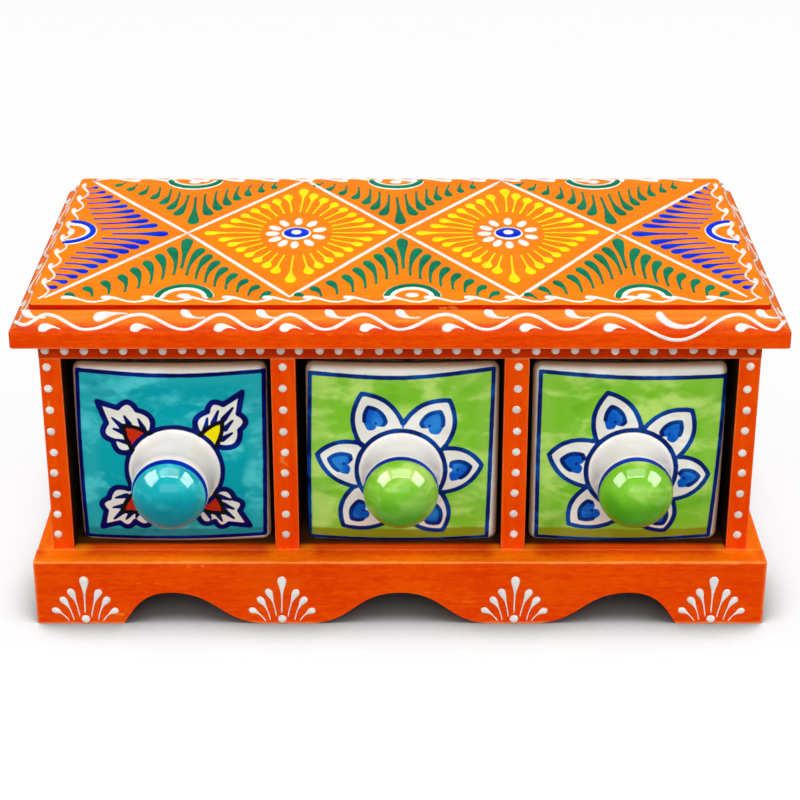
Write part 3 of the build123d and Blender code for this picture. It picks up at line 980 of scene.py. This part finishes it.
def inside_of(points, loop):
    """Whether each point is inside a loop: a ray to the right crosses it an odd number of times."""
    odd = np.zeros(len(points), bool)
    for start, end in zip(loop, np.roll(loop, -1, axis=0)):
        if start[1] == end[1]:
            continue
        crosses = (start[1] > points[:, 1]) != (end[1] > points[:, 1])
        at = start[0] + (points[:, 1] - start[1]) * (end[0] - start[0]) / (end[1] - start[1])
        odd ^= crosses & (points[:, 0] < at)
    return odd


def signed_distance(points, loop):
    """Distance to a loop, negative inside it."""
    distance = distance_to(points, np.concatenate([loop, loop[:1]]))
    return np.where(inside_of(points, loop), -distance, distance)


def spike(points, root, tip, half_width):
    """Signed distance to a spike whose half width narrows evenly to 0.38 of it at the tip."""
    root, tip = np.asarray(root, float), np.asarray(tip, float)
    run = tip - root
    t = np.clip(((points - root) @ run) / (run @ run), 0, 1)
    return np.linalg.norm(points - root - t[:, None] * run, axis=1) - half_width * (1 - 0.62 * t)


# A distance that stands for nowhere near, the colours painted, and half the widths of the drawn lines
far = 99.0
drawn_colours = ("white", "blue", "mid_blue", "red", "yellow", "dark")
frame_line = 0.7
petal_line = 0.78
leaf_line = 0.95
heart_line = 0.7
dark_line = 0.72

# Petals: base, tip and foot; their hearts: tip, lobe, notch and other lobe
petal_bulge = 0.16
flower_petals = {
    "middle": [((-12.6, 8.9), (-12.4, 26.6), (0.5, 16.8)), ((0.9, 16.8), (15.4, 24.3), (13.4, 7.8)),
               ((13.4, 7.8), (25.9, 1.5), (12.9, -8.0)), ((12.9, -8.3), (13.5, -22.4), (0.5, -15.4)),
               ((-15.1, -6.1), (-18.7, -20.8), (-0.5, -15.4)), ((-12.4, 9.4), (-26.8, 5.3), (-14.4, -6.0))],
    "right": [((-11.1, 10.0), (-8.4, 27.0), (2.6, 15.3)), ((3.6, 15.0), (18.5, 20.8), (15.0, 4.9)),
              ((15.2, 4.7), (25.0, -1.9), (13.8, -10.7)), ((14.0, -11.2), (12.0, -22.5), (0.5, -15.4)),
              ((-14.0, -6.2), (-19.1, -20.2), (-0.5, -15.4)), ((-12.6, 10.4), (-26.3, 5.3), (-13.8, -6.0))]}
flower_hearts = {
    "middle": [((-10.4, 22.1), (-4.8, 17.2), (-8.1, 16.7), (-10.4, 14.6)),
               ((12.5, 20.5), (6.4, 16.6), (9.1, 15.8), (11.9, 13.2)),
               ((-23.0, 3.8), (-16.3, 5.2), (-18.3, 2.2), (-17.2, -1.2)),
               ((22.3, 1.0), (16.2, 2.7), (18.2, 0.1), (16.3, -3.6)),
               ((-15.9, -18.1), (-13.6, -11.3), (-12.2, -14.8), (-10.7, -17.0)),
               ((12.2, -19.6), (11.2, -12.6), (9.0, -15.9), (6.8, -17.6))],
    "right": [((-7.0, 22.4), (-2.6, 17.1), (-5.7, 17.2), (-8.1, 15.0)),
              ((15.2, 16.9), (9.0, 13.6), (11.6, 12.9), (13.1, 10.2)),
              ((-22.3, 3.6), (-15.6, 5.5), (-17.6, 2.3), (-16.6, -0.9)),
              ((22.0, -2.6), (16.4, -0.3), (17.2, -3.0), (16.0, -6.0)),
              ((-15.6, -18.0), (-13.4, -11.2), (-11.9, -14.7), (-9.5, -16.4)),
              ((11.4, -19.9), (11.0, -13.0), (8.8, -16.2), (6.2, -17.7))]}

# Leaves: corners, with the bulge of each side, spikes from root to tip, and a small triangle by the ring
scallops = (0.31, 0.38, 0.0, 0.0, 0.36, 0.34, 0.0)
leaf_corners = [
    [(-7.1, 13.2), (-11.1, 21.2), (-17.2, 21.8), (-23.7, 23.7), (-21.0, 16.5), (-19.2, 10.4), (-13.1, 6.9)],
    [(8.2, 13.2), (11.2, 20.6), (16.2, 22.9), (22.3, 26.8), (21.0, 19.6), (21.3, 14.0), (14.5, 8.3)],
    [(-15.2, -6.9), (-21.8, -10.5), (-23.0, -15.3), (-24.5, -21.5), (-18.8, -19.7), (-13.8, -19.0),
     (-7.6, -18.2)],
    [(12.6, -7.6), (18.8, -10.7), (20.3, -15.2), (23.4, -21.2), (16.7, -20.1), (12.1, -19.0), (6.8, -17.0)]]
leaf_spikes = [
    [((-16.2, 15.5), (-19.2, 18.4)), ((-13.8, 16.2), (-15.2, 19.0)), ((-9.2, 14.6), (-10.8, 18.2)),
     ((-15.5, 13.3), (-18.9, 14.6)), ((-14.3, 9.9), (-18.3, 10.8))],
    [((16.2, 17.8), (19.2, 21.6)), ((13.0, 16.6), (14.6, 20.8)), ((10.4, 14.6), (11.1, 18.3)),
     ((16.6, 14.6), (19.1, 17.3)), ((15.6, 11.0), (18.8, 13.0))],
    [((-17.6, -15.4), (-20.6, -18.4)), ((-14.7, -15.6), (-16.7, -18.4)), ((-12.5, -15.4), (-13.4, -17.6)),
     ((-17.4, -13.4), (-20.7, -14.0)), ((-16.0, -9.4), (-19.6, -10.3))],
    [((15.4, -15.3), (18.3, -18.1)), ((12.9, -16.0), (14.4, -19.0)), ((9.9, -15.6), (10.8, -18.1)),
     ((15.1, -12.8), (18.4, -14.5)), ((14.0, -9.7), (17.5, -11.0))]]
leaf_triangles = [("red", ((-15.8, 15.8), (-7.2, 13.0), (-12.7, 6.9))),
                  ("yellow", ((15.8, 17.1), (8.6, 12.6), (13.4, 8.3))),
                  ("red", ((-17.8, -15.3), (-12.9, -7.6), (-9.0, -14.6))),
                  ("red", ((15.2, -15.8), (12.4, -8.6), (7.4, -14.2)))]

# The blue frame's corners and the middles of its sides, and the radius of the ring round the knob
drawn_frames = {
    "left": ([(-29.6, 34.0), (-0.2, 32.7), (29.2, 33.6), (28.9, 4.0),
              (28.2, -24.6), (-0.5, -25.2), (-29.9, -25.3), (-30.0, 4.0)], 15.4),
    "middle": ([(-28.7, 33.0), (0.2, 32.0), (29.3, 34.4), (28.6, 4.0),
                (28.0, -25.7), (0.0, -26.0), (-29.8, -25.6), (-29.4, 4.0)], 14.2),
    "right": ([(-29.6, 33.5), (0.2, 32.0), (28.8, 31.9), (27.9, 4.0),
               (26.7, -25.3), (0.0, -26.0), (-29.5, -25.5), (-29.8, 4.0)], 14.4)}


def drawing_layers(name, points):
    """Signed distances to everything painted on one front, by the colour it is painted in."""
    layers = {label: np.full(len(points), far) for label in drawn_colours}

    def add(label, distance):
        """Joins a shape to what one colour paints: the smaller of the two distances."""
        layers[label] = np.minimum(layers[label], distance)

    corners, ring = drawn_frames[name]
    corners = corners + corners[:1]
    border = np.concatenate([smooth_line(corners[first:first + 3], 9) for first in (0, 2, 4, 6)])
    inside_border = signed_distance(points, border)
    from_knob = np.linalg.norm(points, axis=1)
    add("blue", np.abs(inside_border) - frame_line)
    add("blue", np.abs(from_knob - ring) - petal_line)
    add("white", 0.3 - inside_border)
    add("white", from_knob - ring)
    for base, tip, foot in flower_petals.get(name, []):
        middle = (np.array(base) + tip + foot) / 3
        sides = np.concatenate([arched(*ends, petal_bulge, middle) for ends in ((base, tip), (tip, foot))])
        add("blue", distance_to(points, sides) - petal_line)
        add("white", signed_distance(points, np.concatenate([sides, [(0, 0)]])))
    for heart in flower_hearts.get(name, []):
        # The line goes round the tip, about from lobe to lobe, and there is a spot in the notch
        shape = outline(heart, (0.17, 0.34, 0.34, 0.17))
        rim = np.roll(shape, 8, axis=0)[:2 * arch_points]
        add("mid_blue", signed_distance(points, shape) - 0.35)
        add("blue", distance_to(points, rim) - heart_line)
        add("blue", np.linalg.norm(points - heart[2], axis=1) - 0.5)
    if name == "middle":
        add("mid_blue", spike(points, (0.7, 16.9), (0.6, 15.3), 0.75))
    if name == "left":
        for corners, spikes in zip(leaf_corners, leaf_spikes):
            # The last side lies against the ring, and isn't drawn
            shape = outline(corners, scallops)
            add("blue", distance_to(points, shape[:-arch_points]) - leaf_line)
            add("white", signed_distance(points, shape))
            for root, tip in spikes:
                add("blue", spike(points, root, tip, 1.02))
        for paint, triangle in leaf_triangles:
            # The side across from the first corner isn't drawn
            shape = outline(triangle, (0.07, 0.05, 0.07))
            rim = np.roll(shape, arch_points, axis=0)[:2 * arch_points]
            add(paint, np.maximum(signed_distance(points, shape), ring - from_knob))
            add("dark", distance_to(points, rim) - dark_line)
    return layers


def glaze_ground(tree, place, colours, seed):
    """Glaze between its thick and its thin tone, darker where it pooled, and the clouds that it follows."""
    thin, thick, pooled = colours[:3]
    clouds = use_group(tree, glaze_clouds, {"Place": place, "Seed": seed})
    ground = mixed(tree, clouds["Tone"], thick, thin)
    return clouds, mixed(tree, times(tree, clouds["Pools"], 0.8), ground, pooled)


def glazed(name, colours, tint, seed):
    """Glazed clay with its drawing: glaze between a thin and a thick tone, and each painted layer over it."""
    material, tree, shader, place = new_material(name)
    clouds, ground = glaze_ground(tree, place, colours, seed)
    tone = clouds["Tone"]
    inset = attribute(tree, "inset")
    # The glaze is thinner along the frame, and at the foot another tone stands for the orange ledge's
    # reflection and the shade there: painted reflection and painted shade
    along_frame = times(tree, plus(tree, 0.2, times(tree, tone, 0.4)), step_between(tree, inset, 9.0, 4.4))
    ground = mixed(tree, along_frame, ground, colours[0])
    height = plus(tree, axes(tree, place)[2], times(tree, clouds["Height"], 1.6 * MM))
    ledge_reflection_band = times(tree, step_between(tree, height, 29.6 * MM, 28.6 * MM), 0.8)
    ground = mixed(tree, ledge_reflection_band, ground, colours[3])
    # Towards the rim the white turns to brown and at the rim to dark, painted shade with a painted reflection
    # of the orange case; behind it the white turns to bare clay
    white = mixed(tree, tone, colour(222, 222, 212), colour(238, 240, 232))
    for start, end, rim_shade_and_clay in ((2.6, 0.5, colour(176, 134, 104)), (0.35, -0.05, colour(66, 42, 28)),
                             (-0.1, -0.22, colour(212, 198, 180))):
        white = mixed(tree, step_between(tree, inset, start, end), white, rim_shade_and_clay)
    line = mixed(tree, tone, *tint)
    sky = mixed(tree, tone, colour(4, 84, 186), colour(40, 130, 214))
    layers = (("white", white, 0.12), ("mid_blue", sky, 0.15), ("red", colour(188, 40, 6), 0.2),
              ("yellow", colour(238, 220, 0), 0.2), ("blue", line, 0.25), ("dark", colour(10, 8, 14), 0.5))
    for label, paint, waver in layers:
        shape = {"Place": place, "Distance": attribute(tree, label), "Waver": waver}
        ground = mixed(tree, use_group(tree, drawn_shape, shape)["Mask"], ground, paint)
    fill(tree, shader, {"Base Color": ground, "Roughness": 0.07, "Specular IOR Level": 0.1})
    set_relief(tree, shader, clouds["Height"], 0.12, glaze_relief)
    return material


# The glazes' thin, thick and pooled tones, and their tone at the foot, which is a painted reflection of the
# orange ledge with painted shade; and the drawn lines' two tones
turquoise = (colour(76, 202, 206), colour(0, 156, 168), colour(0, 136, 150), colour(24, 120, 130))
green_glaze = (colour(180, 221, 106), colour(122, 192, 44), colour(82, 164, 12), colour(130, 126, 4))
navy = (colour(0, 6, 84), colour(0, 32, 134))
royal = (colour(0, 28, 100), colour(8, 76, 162))
drawer_glaze = {
    "left": glazed("left_front_glaze", turquoise, navy, 0.0),
    "middle": glazed("middle_front_glaze", green_glaze, royal, 3.1),
    "right": glazed("right_front_glaze", green_glaze, royal, 7.7)}


def knob_glaze(name, colours, deep, line_from, line_to, seed):
    """A glazed knob: by the angle from the tip, coloured glaze in front with deep painted over its lower part
    as painted shade and painted reflection, a painted line, and white behind.
    """
    material, tree, shader, place = new_material(name)
    clouds, front = glaze_ground(tree, place, colours, seed)
    angle = attribute(tree, "angle")
    # The front's lower part turns towards deep: painted shade and painted reflection
    height = plus(tree, axes(tree, place)[2], times(tree, clouds["Height"], 6.0 * MM))
    low = times(tree, step_between(tree, height, 60.0 * MM, 50.0 * MM), step_between(tree, angle, 72.0, 40.0))
    front = mixed(tree, times(tree, low, 0.75), front, deep)
    white = mixed(tree, clouds["Tone"], colour(248, 245, 238), colour(255, 254, 250))
    line = mixed(tree, clouds["Tone"], colour(0, 30, 150), colour(0, 54, 188))
    shade = mixed(tree, step_between(tree, angle, line_from - 0.7, line_from + 0.7), front, line)
    shade = mixed(tree, step_between(tree, angle, line_to - 0.7, line_to + 0.7), shade, white)
    fill(tree, shader, {"Base Color": shade, "Roughness": 0.01, "Specular IOR Level": 0.14})
    return material


def clay_white(name):
    """The plain white glaze inside and under the drawers, with a faint speckle of the clay."""
    material, tree, shader, place = new_material(name)
    clouds = use_group(tree, glaze_clouds, {"Place": place, "Seed": 2.0})
    white = mixed(tree, clouds["Tone"], colour(230, 224, 216), colour(240, 236, 230))
    speck = step_between(tree, noise(tree, place, 900.0, 1.0), 0.76, 0.8)
    white = mixed(tree, times(tree, speck, 0.4), white, colour(168, 150, 130))
    fill(tree, shader, {"Base Color": white, "Roughness": 0.18})
    set_relief(tree, shader, clouds["Height"], 0.1, glaze_relief)
    return material


# Drawer sizes
front_crown = 1.9
edge_rounding = 2.2
corner_rounding = 3.0
plate_back = 6.3
tub_inset = 1.0
tub_behind_rim = 2.5
tub_height = 57.0
tub_wall = 4.5
tub_floor = 5.0
tub_rounding = 3.0
tub_lip = 1.6
drawer_recess = 4.0
rim_depth = case_front + drawer_recess
drawer_names = ("left", "middle", "right")
tub_white = {name: clay_white(name + "_tub_glaze") for name in drawer_names}


def middle_and_half(node):
    """Middle and half size of a CAD node, in millimetres."""
    low, high = box_mm(node)
    return (low + high) / 2, (high - low) / 2


def fit_drawer(name, kind):
    """A finished piece stands in for the CAD node of its kind and drawer, which is hidden."""
    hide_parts(kind + "_" + name)


def front_points_of(half_width, half_height):
    """A grid over a rounded rectangle, denser at its edges, each corner square drawn in to a quarter disc."""
    edge = edge_rounding * (1 - np.cos(np.radians([0, 14, 30, 47, 66, 90])))

    def marks(half):
        """Grid lines from -half to half."""
        straight = half - corner_rounding
        inner = np.linspace(-straight, straight, int(straight * 2 / 0.42))
        outer = np.concatenate([half - edge, [half - edge_rounding - 0.4]])
        return np.concatenate([-outer, inner, outer[::-1]])

    u, v = np.meshgrid(marks(half_width), marks(half_height))
    a = np.clip((np.abs(u) - (half_width - corner_rounding)) / corner_rounding, 0, 1)
    b = np.clip((np.abs(v) - (half_height - corner_rounding)) / corner_rounding, 0, 1)
    corner = (a > 0) & (b > 0)
    round_u = half_width - corner_rounding + corner_rounding * a * np.sqrt(1 - b ** 2 / 2)
    round_v = half_height - corner_rounding + corner_rounding * b * np.sqrt(1 - a ** 2 / 2)
    u = np.where(corner, np.sign(u) * round_u, u)
    v = np.where(corner, np.sign(v) * round_v, v)
    return u, v


def inset_in(u, v, half_width, half_height):
    """How far a point is inside the rounded rectangle's outline."""
    a = np.abs(u) - (half_width - corner_rounding)
    b = np.abs(v) - (half_height - corner_rounding)
    outside = np.hypot(np.maximum(a, 0), np.maximum(b, 0))
    return corner_rounding - outside - np.minimum(np.maximum(a, b), 0)


def make_front(name):
    """The front plate: a crowned face that rounds over into its rim, its sides, and a flat back.

    The crown is a ball's cap: its drop from the middle is r - √(r² - distance²). The edge drops by
    e - √(e² - (e - inset)²) within e of the outline.
    """
    middle, (half_width, _, half_height) = middle_and_half("drawer_" + name)
    radius = (half_width ** 2 + front_crown ** 2) / (2 * front_crown)
    u, v = front_points_of(half_width, half_height)
    rows, columns = u.shape
    crown = np.sqrt(radius ** 2 - np.minimum(u ** 2 + v ** 2, radius ** 2 * 0.9)) - radius + front_crown
    near = np.clip(edge_rounding - inset_in(u, v, half_width, half_height), 0, edge_rounding)
    drop = edge_rounding - np.sqrt(edge_rounding ** 2 - near ** 2)
    depth = rim_depth - crown + drop
    face = np.stack([u, depth, v], axis=-1).reshape(-1, 3)
    index = np.arange(rows * columns).reshape(rows, columns)
    loop = np.concatenate([index[0, :-1], index[:-1, -1], index[-1, :0:-1], index[:0:-1, 0]])
    back = face[loop] * (1, 0, 1) + (0, rim_depth + plate_back, 0)
    points = np.concatenate([face, back])
    wall = np.arange(len(loop)) + rows * columns
    sides = np.stack([loop, wall, np.roll(wall, -1), np.roll(loop, -1)], axis=-1)
    faces = grid_faces(rows, columns).tolist() + sides.tolist() + [wall[::-1].tolist()]
    knob_middle = middle_and_half("knob_" + name)[0] - middle
    layers = drawing_layers(name, points[:, [0, 2]] - knob_middle[[0, 2]])
    layers["white"][len(face):] = -far
    layers["blue"][len(face):] = far
    layers["inset"] = np.append(inset_in(u, v, half_width, half_height), np.full(len(back), -1.0))
    piece = make_piece(name + "_front", points + middle * (1, 0, 1), faces, drawer_glaze[name],
                       name + "_drawer", layers)
    fit_drawer(name, "drawer")


corner_points = 7


def rounded_rectangle(half_width, half_height, radius):
    """Points round a rectangle whose corners are quarter circles: a circle's quarters, each moved out."""
    turn = np.radians(np.linspace(0, 90, corner_points))
    loop = []
    for quarter, (across, up) in enumerate(((1, 1), (-1, 1), (-1, -1), (1, -1))):
        angle = turn + math.pi / 2 * quarter
        middle = np.array([across * (half_width - radius), up * (half_height - radius)])
        loop.append(middle + radius * np.stack([np.cos(angle), np.sin(angle)], axis=1))
    return np.concatenate(loop)


def make_tub(name):
    """The tray behind the front: one wall profile carried round a rounded rectangle, closed inside and under.

    The profile goes from the underside up the outer wall, over the rounded rim, down the inner wall and
    round into the floor. At each step the loop's half sizes shrink by the same inset.
    """
    low, high = box_mm("drawer_" + name)
    near, far_end = rim_depth + tub_behind_rim, high[1]
    half_width, half_length = (high[0] - low[0]) / 2 - tub_inset, (far_end - near) / 2
    quarter = np.radians(np.linspace(0, 90, 6))
    foot = tub_rounding * np.stack([1 - np.sin(quarter), 1 - np.cos(quarter)], axis=1)
    rim = np.radians(np.linspace(0, 180, 9))
    edge = np.stack([tub_wall / 2 * (1 - np.cos(rim)), tub_height - tub_lip + tub_lip * np.sin(rim)], axis=1)
    floor = foot[:, ::-1] + (tub_wall, tub_floor)
    profile = np.concatenate([foot, edge, floor])
    loops = []
    for inset, height in profile:
        radius = max(3.5 - inset, 0.6) + 0.8 * (inset > 1)
        loop = rounded_rectangle(half_width - inset, half_length - inset, radius)
        loops.append(np.column_stack([loop, np.full(len(loop), height)]))
    each = len(loops[0])
    faces = grid_faces(len(profile), each, wrap=True).tolist()
    faces.append(list(range(each - 1, -1, -1)))
    faces.append([each * (len(profile) - 1) + step for step in range(each)])
    points = np.concatenate(loops) + ((low[0] + high[0]) / 2, near + half_length, low[2])
    piece = make_piece(name + "_tub", points, faces, tub_white[name], name + "_drawer")
    piece.data.polygons.foreach_set("use_smooth", [True] * (len(faces) - 2) + [False] * 2)
    fit_drawer(name, "drawer")


# Knobs: radii of the ball and of the foot, the painted line's two angles from the tip, glaze, its darker tone
# for the ball's lower front (painted shade and painted reflection), and its seed
knob_points = 96
knob_reach = 15.3
knob_join = math.radians(98)
bright_turquoise = (colour(76, 210, 214), colour(0, 170, 180), colour(0, 146, 158))
lower_ball_shade_turquoise, lower_ball_shade_green = colour(0, 118, 134), colour(62, 146, 8)
knobs = {"left": (12.2, 14.4, (69.5, 79.0), bright_turquoise, lower_ball_shade_turquoise, 1.3),
         "middle": (11.9, 13.2, (78.5, 89.0), green_glaze, lower_ball_shade_green, 4.2),
         "right": (11.9, 13.4, (76.5, 87.0), green_glaze, lower_ball_shade_green, 9.4)}


def make_knob(name):
    """A ball on a trumpet foot, turned about its axis: a cubic curve from the plate to the neck, then an arc.

    The curve leaves the plate almost flat and meets the ball's back in line with it.
    """
    ball_radius, flare_radius, line, glaze, deep, seed = knobs[name]
    ball = rim_depth - knob_reach
    seat = rim_depth - front_crown + 0.2
    turn = np.linspace(knob_join, 0, 56)[:-1]
    arc = np.stack([ball_radius * np.sin(turn), ball - ball_radius * np.cos(turn)], axis=1)
    ahead = np.array([math.cos(knob_join), math.sin(knob_join)])
    flare = bezier(np.array([[flare_radius, seat]]), np.array([[flare_radius - 1.7, seat - 1.3]]),
                   arc[:1] + 4.0 * ahead, arc[:1], np.linspace(0, 1, 26)[:-1])[0]
    sunk = np.array([[flare_radius - 0.5, seat + 1.2], [flare_radius, seat + 1.2]])
    profile = np.concatenate([sunk, flare, arc])
    around = np.linspace(0, 2 * math.pi, knob_points, endpoint=False)
    out, depth = profile[:, 0, None], profile[:, 1, None]
    rings = np.stack([out * np.cos(around), depth + 0 * around, out * np.sin(around)], axis=-1)
    points = np.concatenate([rings.reshape(-1, 3), [(0, ball - ball_radius, 0)]])
    # Everything behind the ball counts as 170 degrees from the tip
    angle = np.concatenate([np.full(len(sunk) + len(flare), 170.0), np.degrees(turn)])
    angles = np.append(np.repeat(angle, knob_points), 0.0)
    piece = make_piece(name + "_knob", points + middle_and_half("knob_" + name)[0] * (1, 0, 1),
                       domed_faces(len(profile), knob_points),
                       knob_glaze(name + "_knob_glaze", glaze, deep, *line, seed), name + "_drawer",
                       {"angle": angles})
    fit_drawer(name, "knob")


for name in drawer_names:
    make_front(name)
    make_tub(name)
    make_knob(name)


# Floor, light and camera

def pale_floor():
    """A wide white floor that keeps the object's soft shadow.

    The camera sees part of its white as a light of its own, dimmed by what stands close over it.
    """
    reach = 6000.0
    mesh = bpy.data.meshes.new("floor")
    corners = np.array([(-reach, -reach, 0), (reach, -reach, 0), (reach, reach, 0), (-reach, reach, 0)]) * MM
    mesh.from_pydata(corners.tolist(), [], [(0, 1, 2, 3)])
    floor = bpy.data.objects.new("floor", mesh)
    bpy.context.scene.collection.objects.link(floor)
    material, tree, shader, _ = new_material("floor_white")
    seen = put(tree, "ShaderNodeLightPath").outputs["Is Camera Ray"]
    open_sky = put(tree, "ShaderNodeAmbientOcclusion", {"Distance": 0.031}, samples=16).outputs["AO"]
    glow = times(tree, step_between(tree, open_sky, 0.35, 0.86), 0.86)
    fill(tree, shader, {"Base Color": mixed(tree, seen, (0.4, 0.4, 0.4, 1.0), (0.14, 0.14, 0.14, 1.0)),
                        "Roughness": 0.7, "Specular IOR Level": 0.0, "Emission Color": (1.0, 1.0, 1.0, 1.0),
                        "Emission Strength": times(tree, glow, seen)})
    mesh.materials.append(material)


pale_floor()


def soft_lamp(name, place, aim, size, power, only_gloss=False):
    """A soft lamp at a place in metres, turned towards aim. With only_gloss it shows in reflections alone."""
    lamp = bpy.data.lights.new(name, "AREA")
    lamp.shape = "RECTANGLE"
    lamp.size, lamp.size_y = size
    lamp.energy = power
    made = bpy.data.objects.new(name, lamp)
    bpy.context.scene.collection.objects.link(made)
    made.location = place
    away = np.array(place) - np.array(aim)
    away = away / np.linalg.norm(away)
    turn = math.atan2(away[0], -away[1])
    made.rotation_euler = (math.acos(away[2]), 0, turn)
    made.visible_diffuse = not only_gloss
    made.visible_camera = False


aim = (0.0, -0.06, 0.05)
soft_lamp("left_light", (-2.25, -0.39, 2.03), aim, (1.55, 1.55), 24.0)
soft_lamp("right_light", (2.25, -0.39, 2.03), aim, (1.55, 1.55), 24.0)
soft_lamp("overhead", (0.0, 0.3, 3.0), aim, (2.4, 1.4), 6.0)
soft_lamp("front_fill", (0.0, -2.62, 1.75), aim, (3.0, 1.5), 66.0)
# What the round glazed knobs mirror: two tall windows with a paler strip between them
soft_lamp("left_window", (-2.3, -0.42, 1.98), aim, (2.2, 1.8), 440.0, only_gloss=True)
soft_lamp("right_window", (2.4, -0.42, 1.94), aim, (2.2, 1.8), 440.0, only_gloss=True)
soft_lamp("between_windows", (0.0, -0.5, 3.0), aim, (2.9, 1.6), 190.0, only_gloss=True)
soft_lamp("sill", (0.0, -1.16, 2.84), aim, (2.7, 0.16), 50.0, only_gloss=True)

world = bpy.data.worlds.new("studio")
world.use_nodes = True
bpy.context.scene.world = world
sky = world.node_tree
rays = put(sky, "ShaderNodeLightPath").outputs
mirrored = maths(sky, "MAXIMUM", rays["Is Glossy Ray"], rays["Is Transmission Ray"])
seen = maths(sky, "MAXIMUM", rays["Is Camera Ray"], mirrored)
# The white that is seen is stronger than the light that falls on the object
ambient = 0.34
fill(sky, sky.nodes["Background"], {"Color": (1.0, 1.0, 1.0, 1.0),
                                    "Strength": plus(sky, ambient, times(sky, seen, 1.0 - ambient))})

camera_data = bpy.data.cameras.new("camera")
camera_data.sensor_width = 36.0
camera_data.lens = 93.45
camera = bpy.data.objects.new("camera", camera_data)
camera.location = (0.0, -0.641875, 0.35107)
camera.rotation_euler = (math.radians(65.08), 0.0, 0.0)
bpy.context.scene.collection.objects.link(camera)
bpy.context.scene.camera = camera
bpy.context.scene.view_settings.view_transform = "Standard"
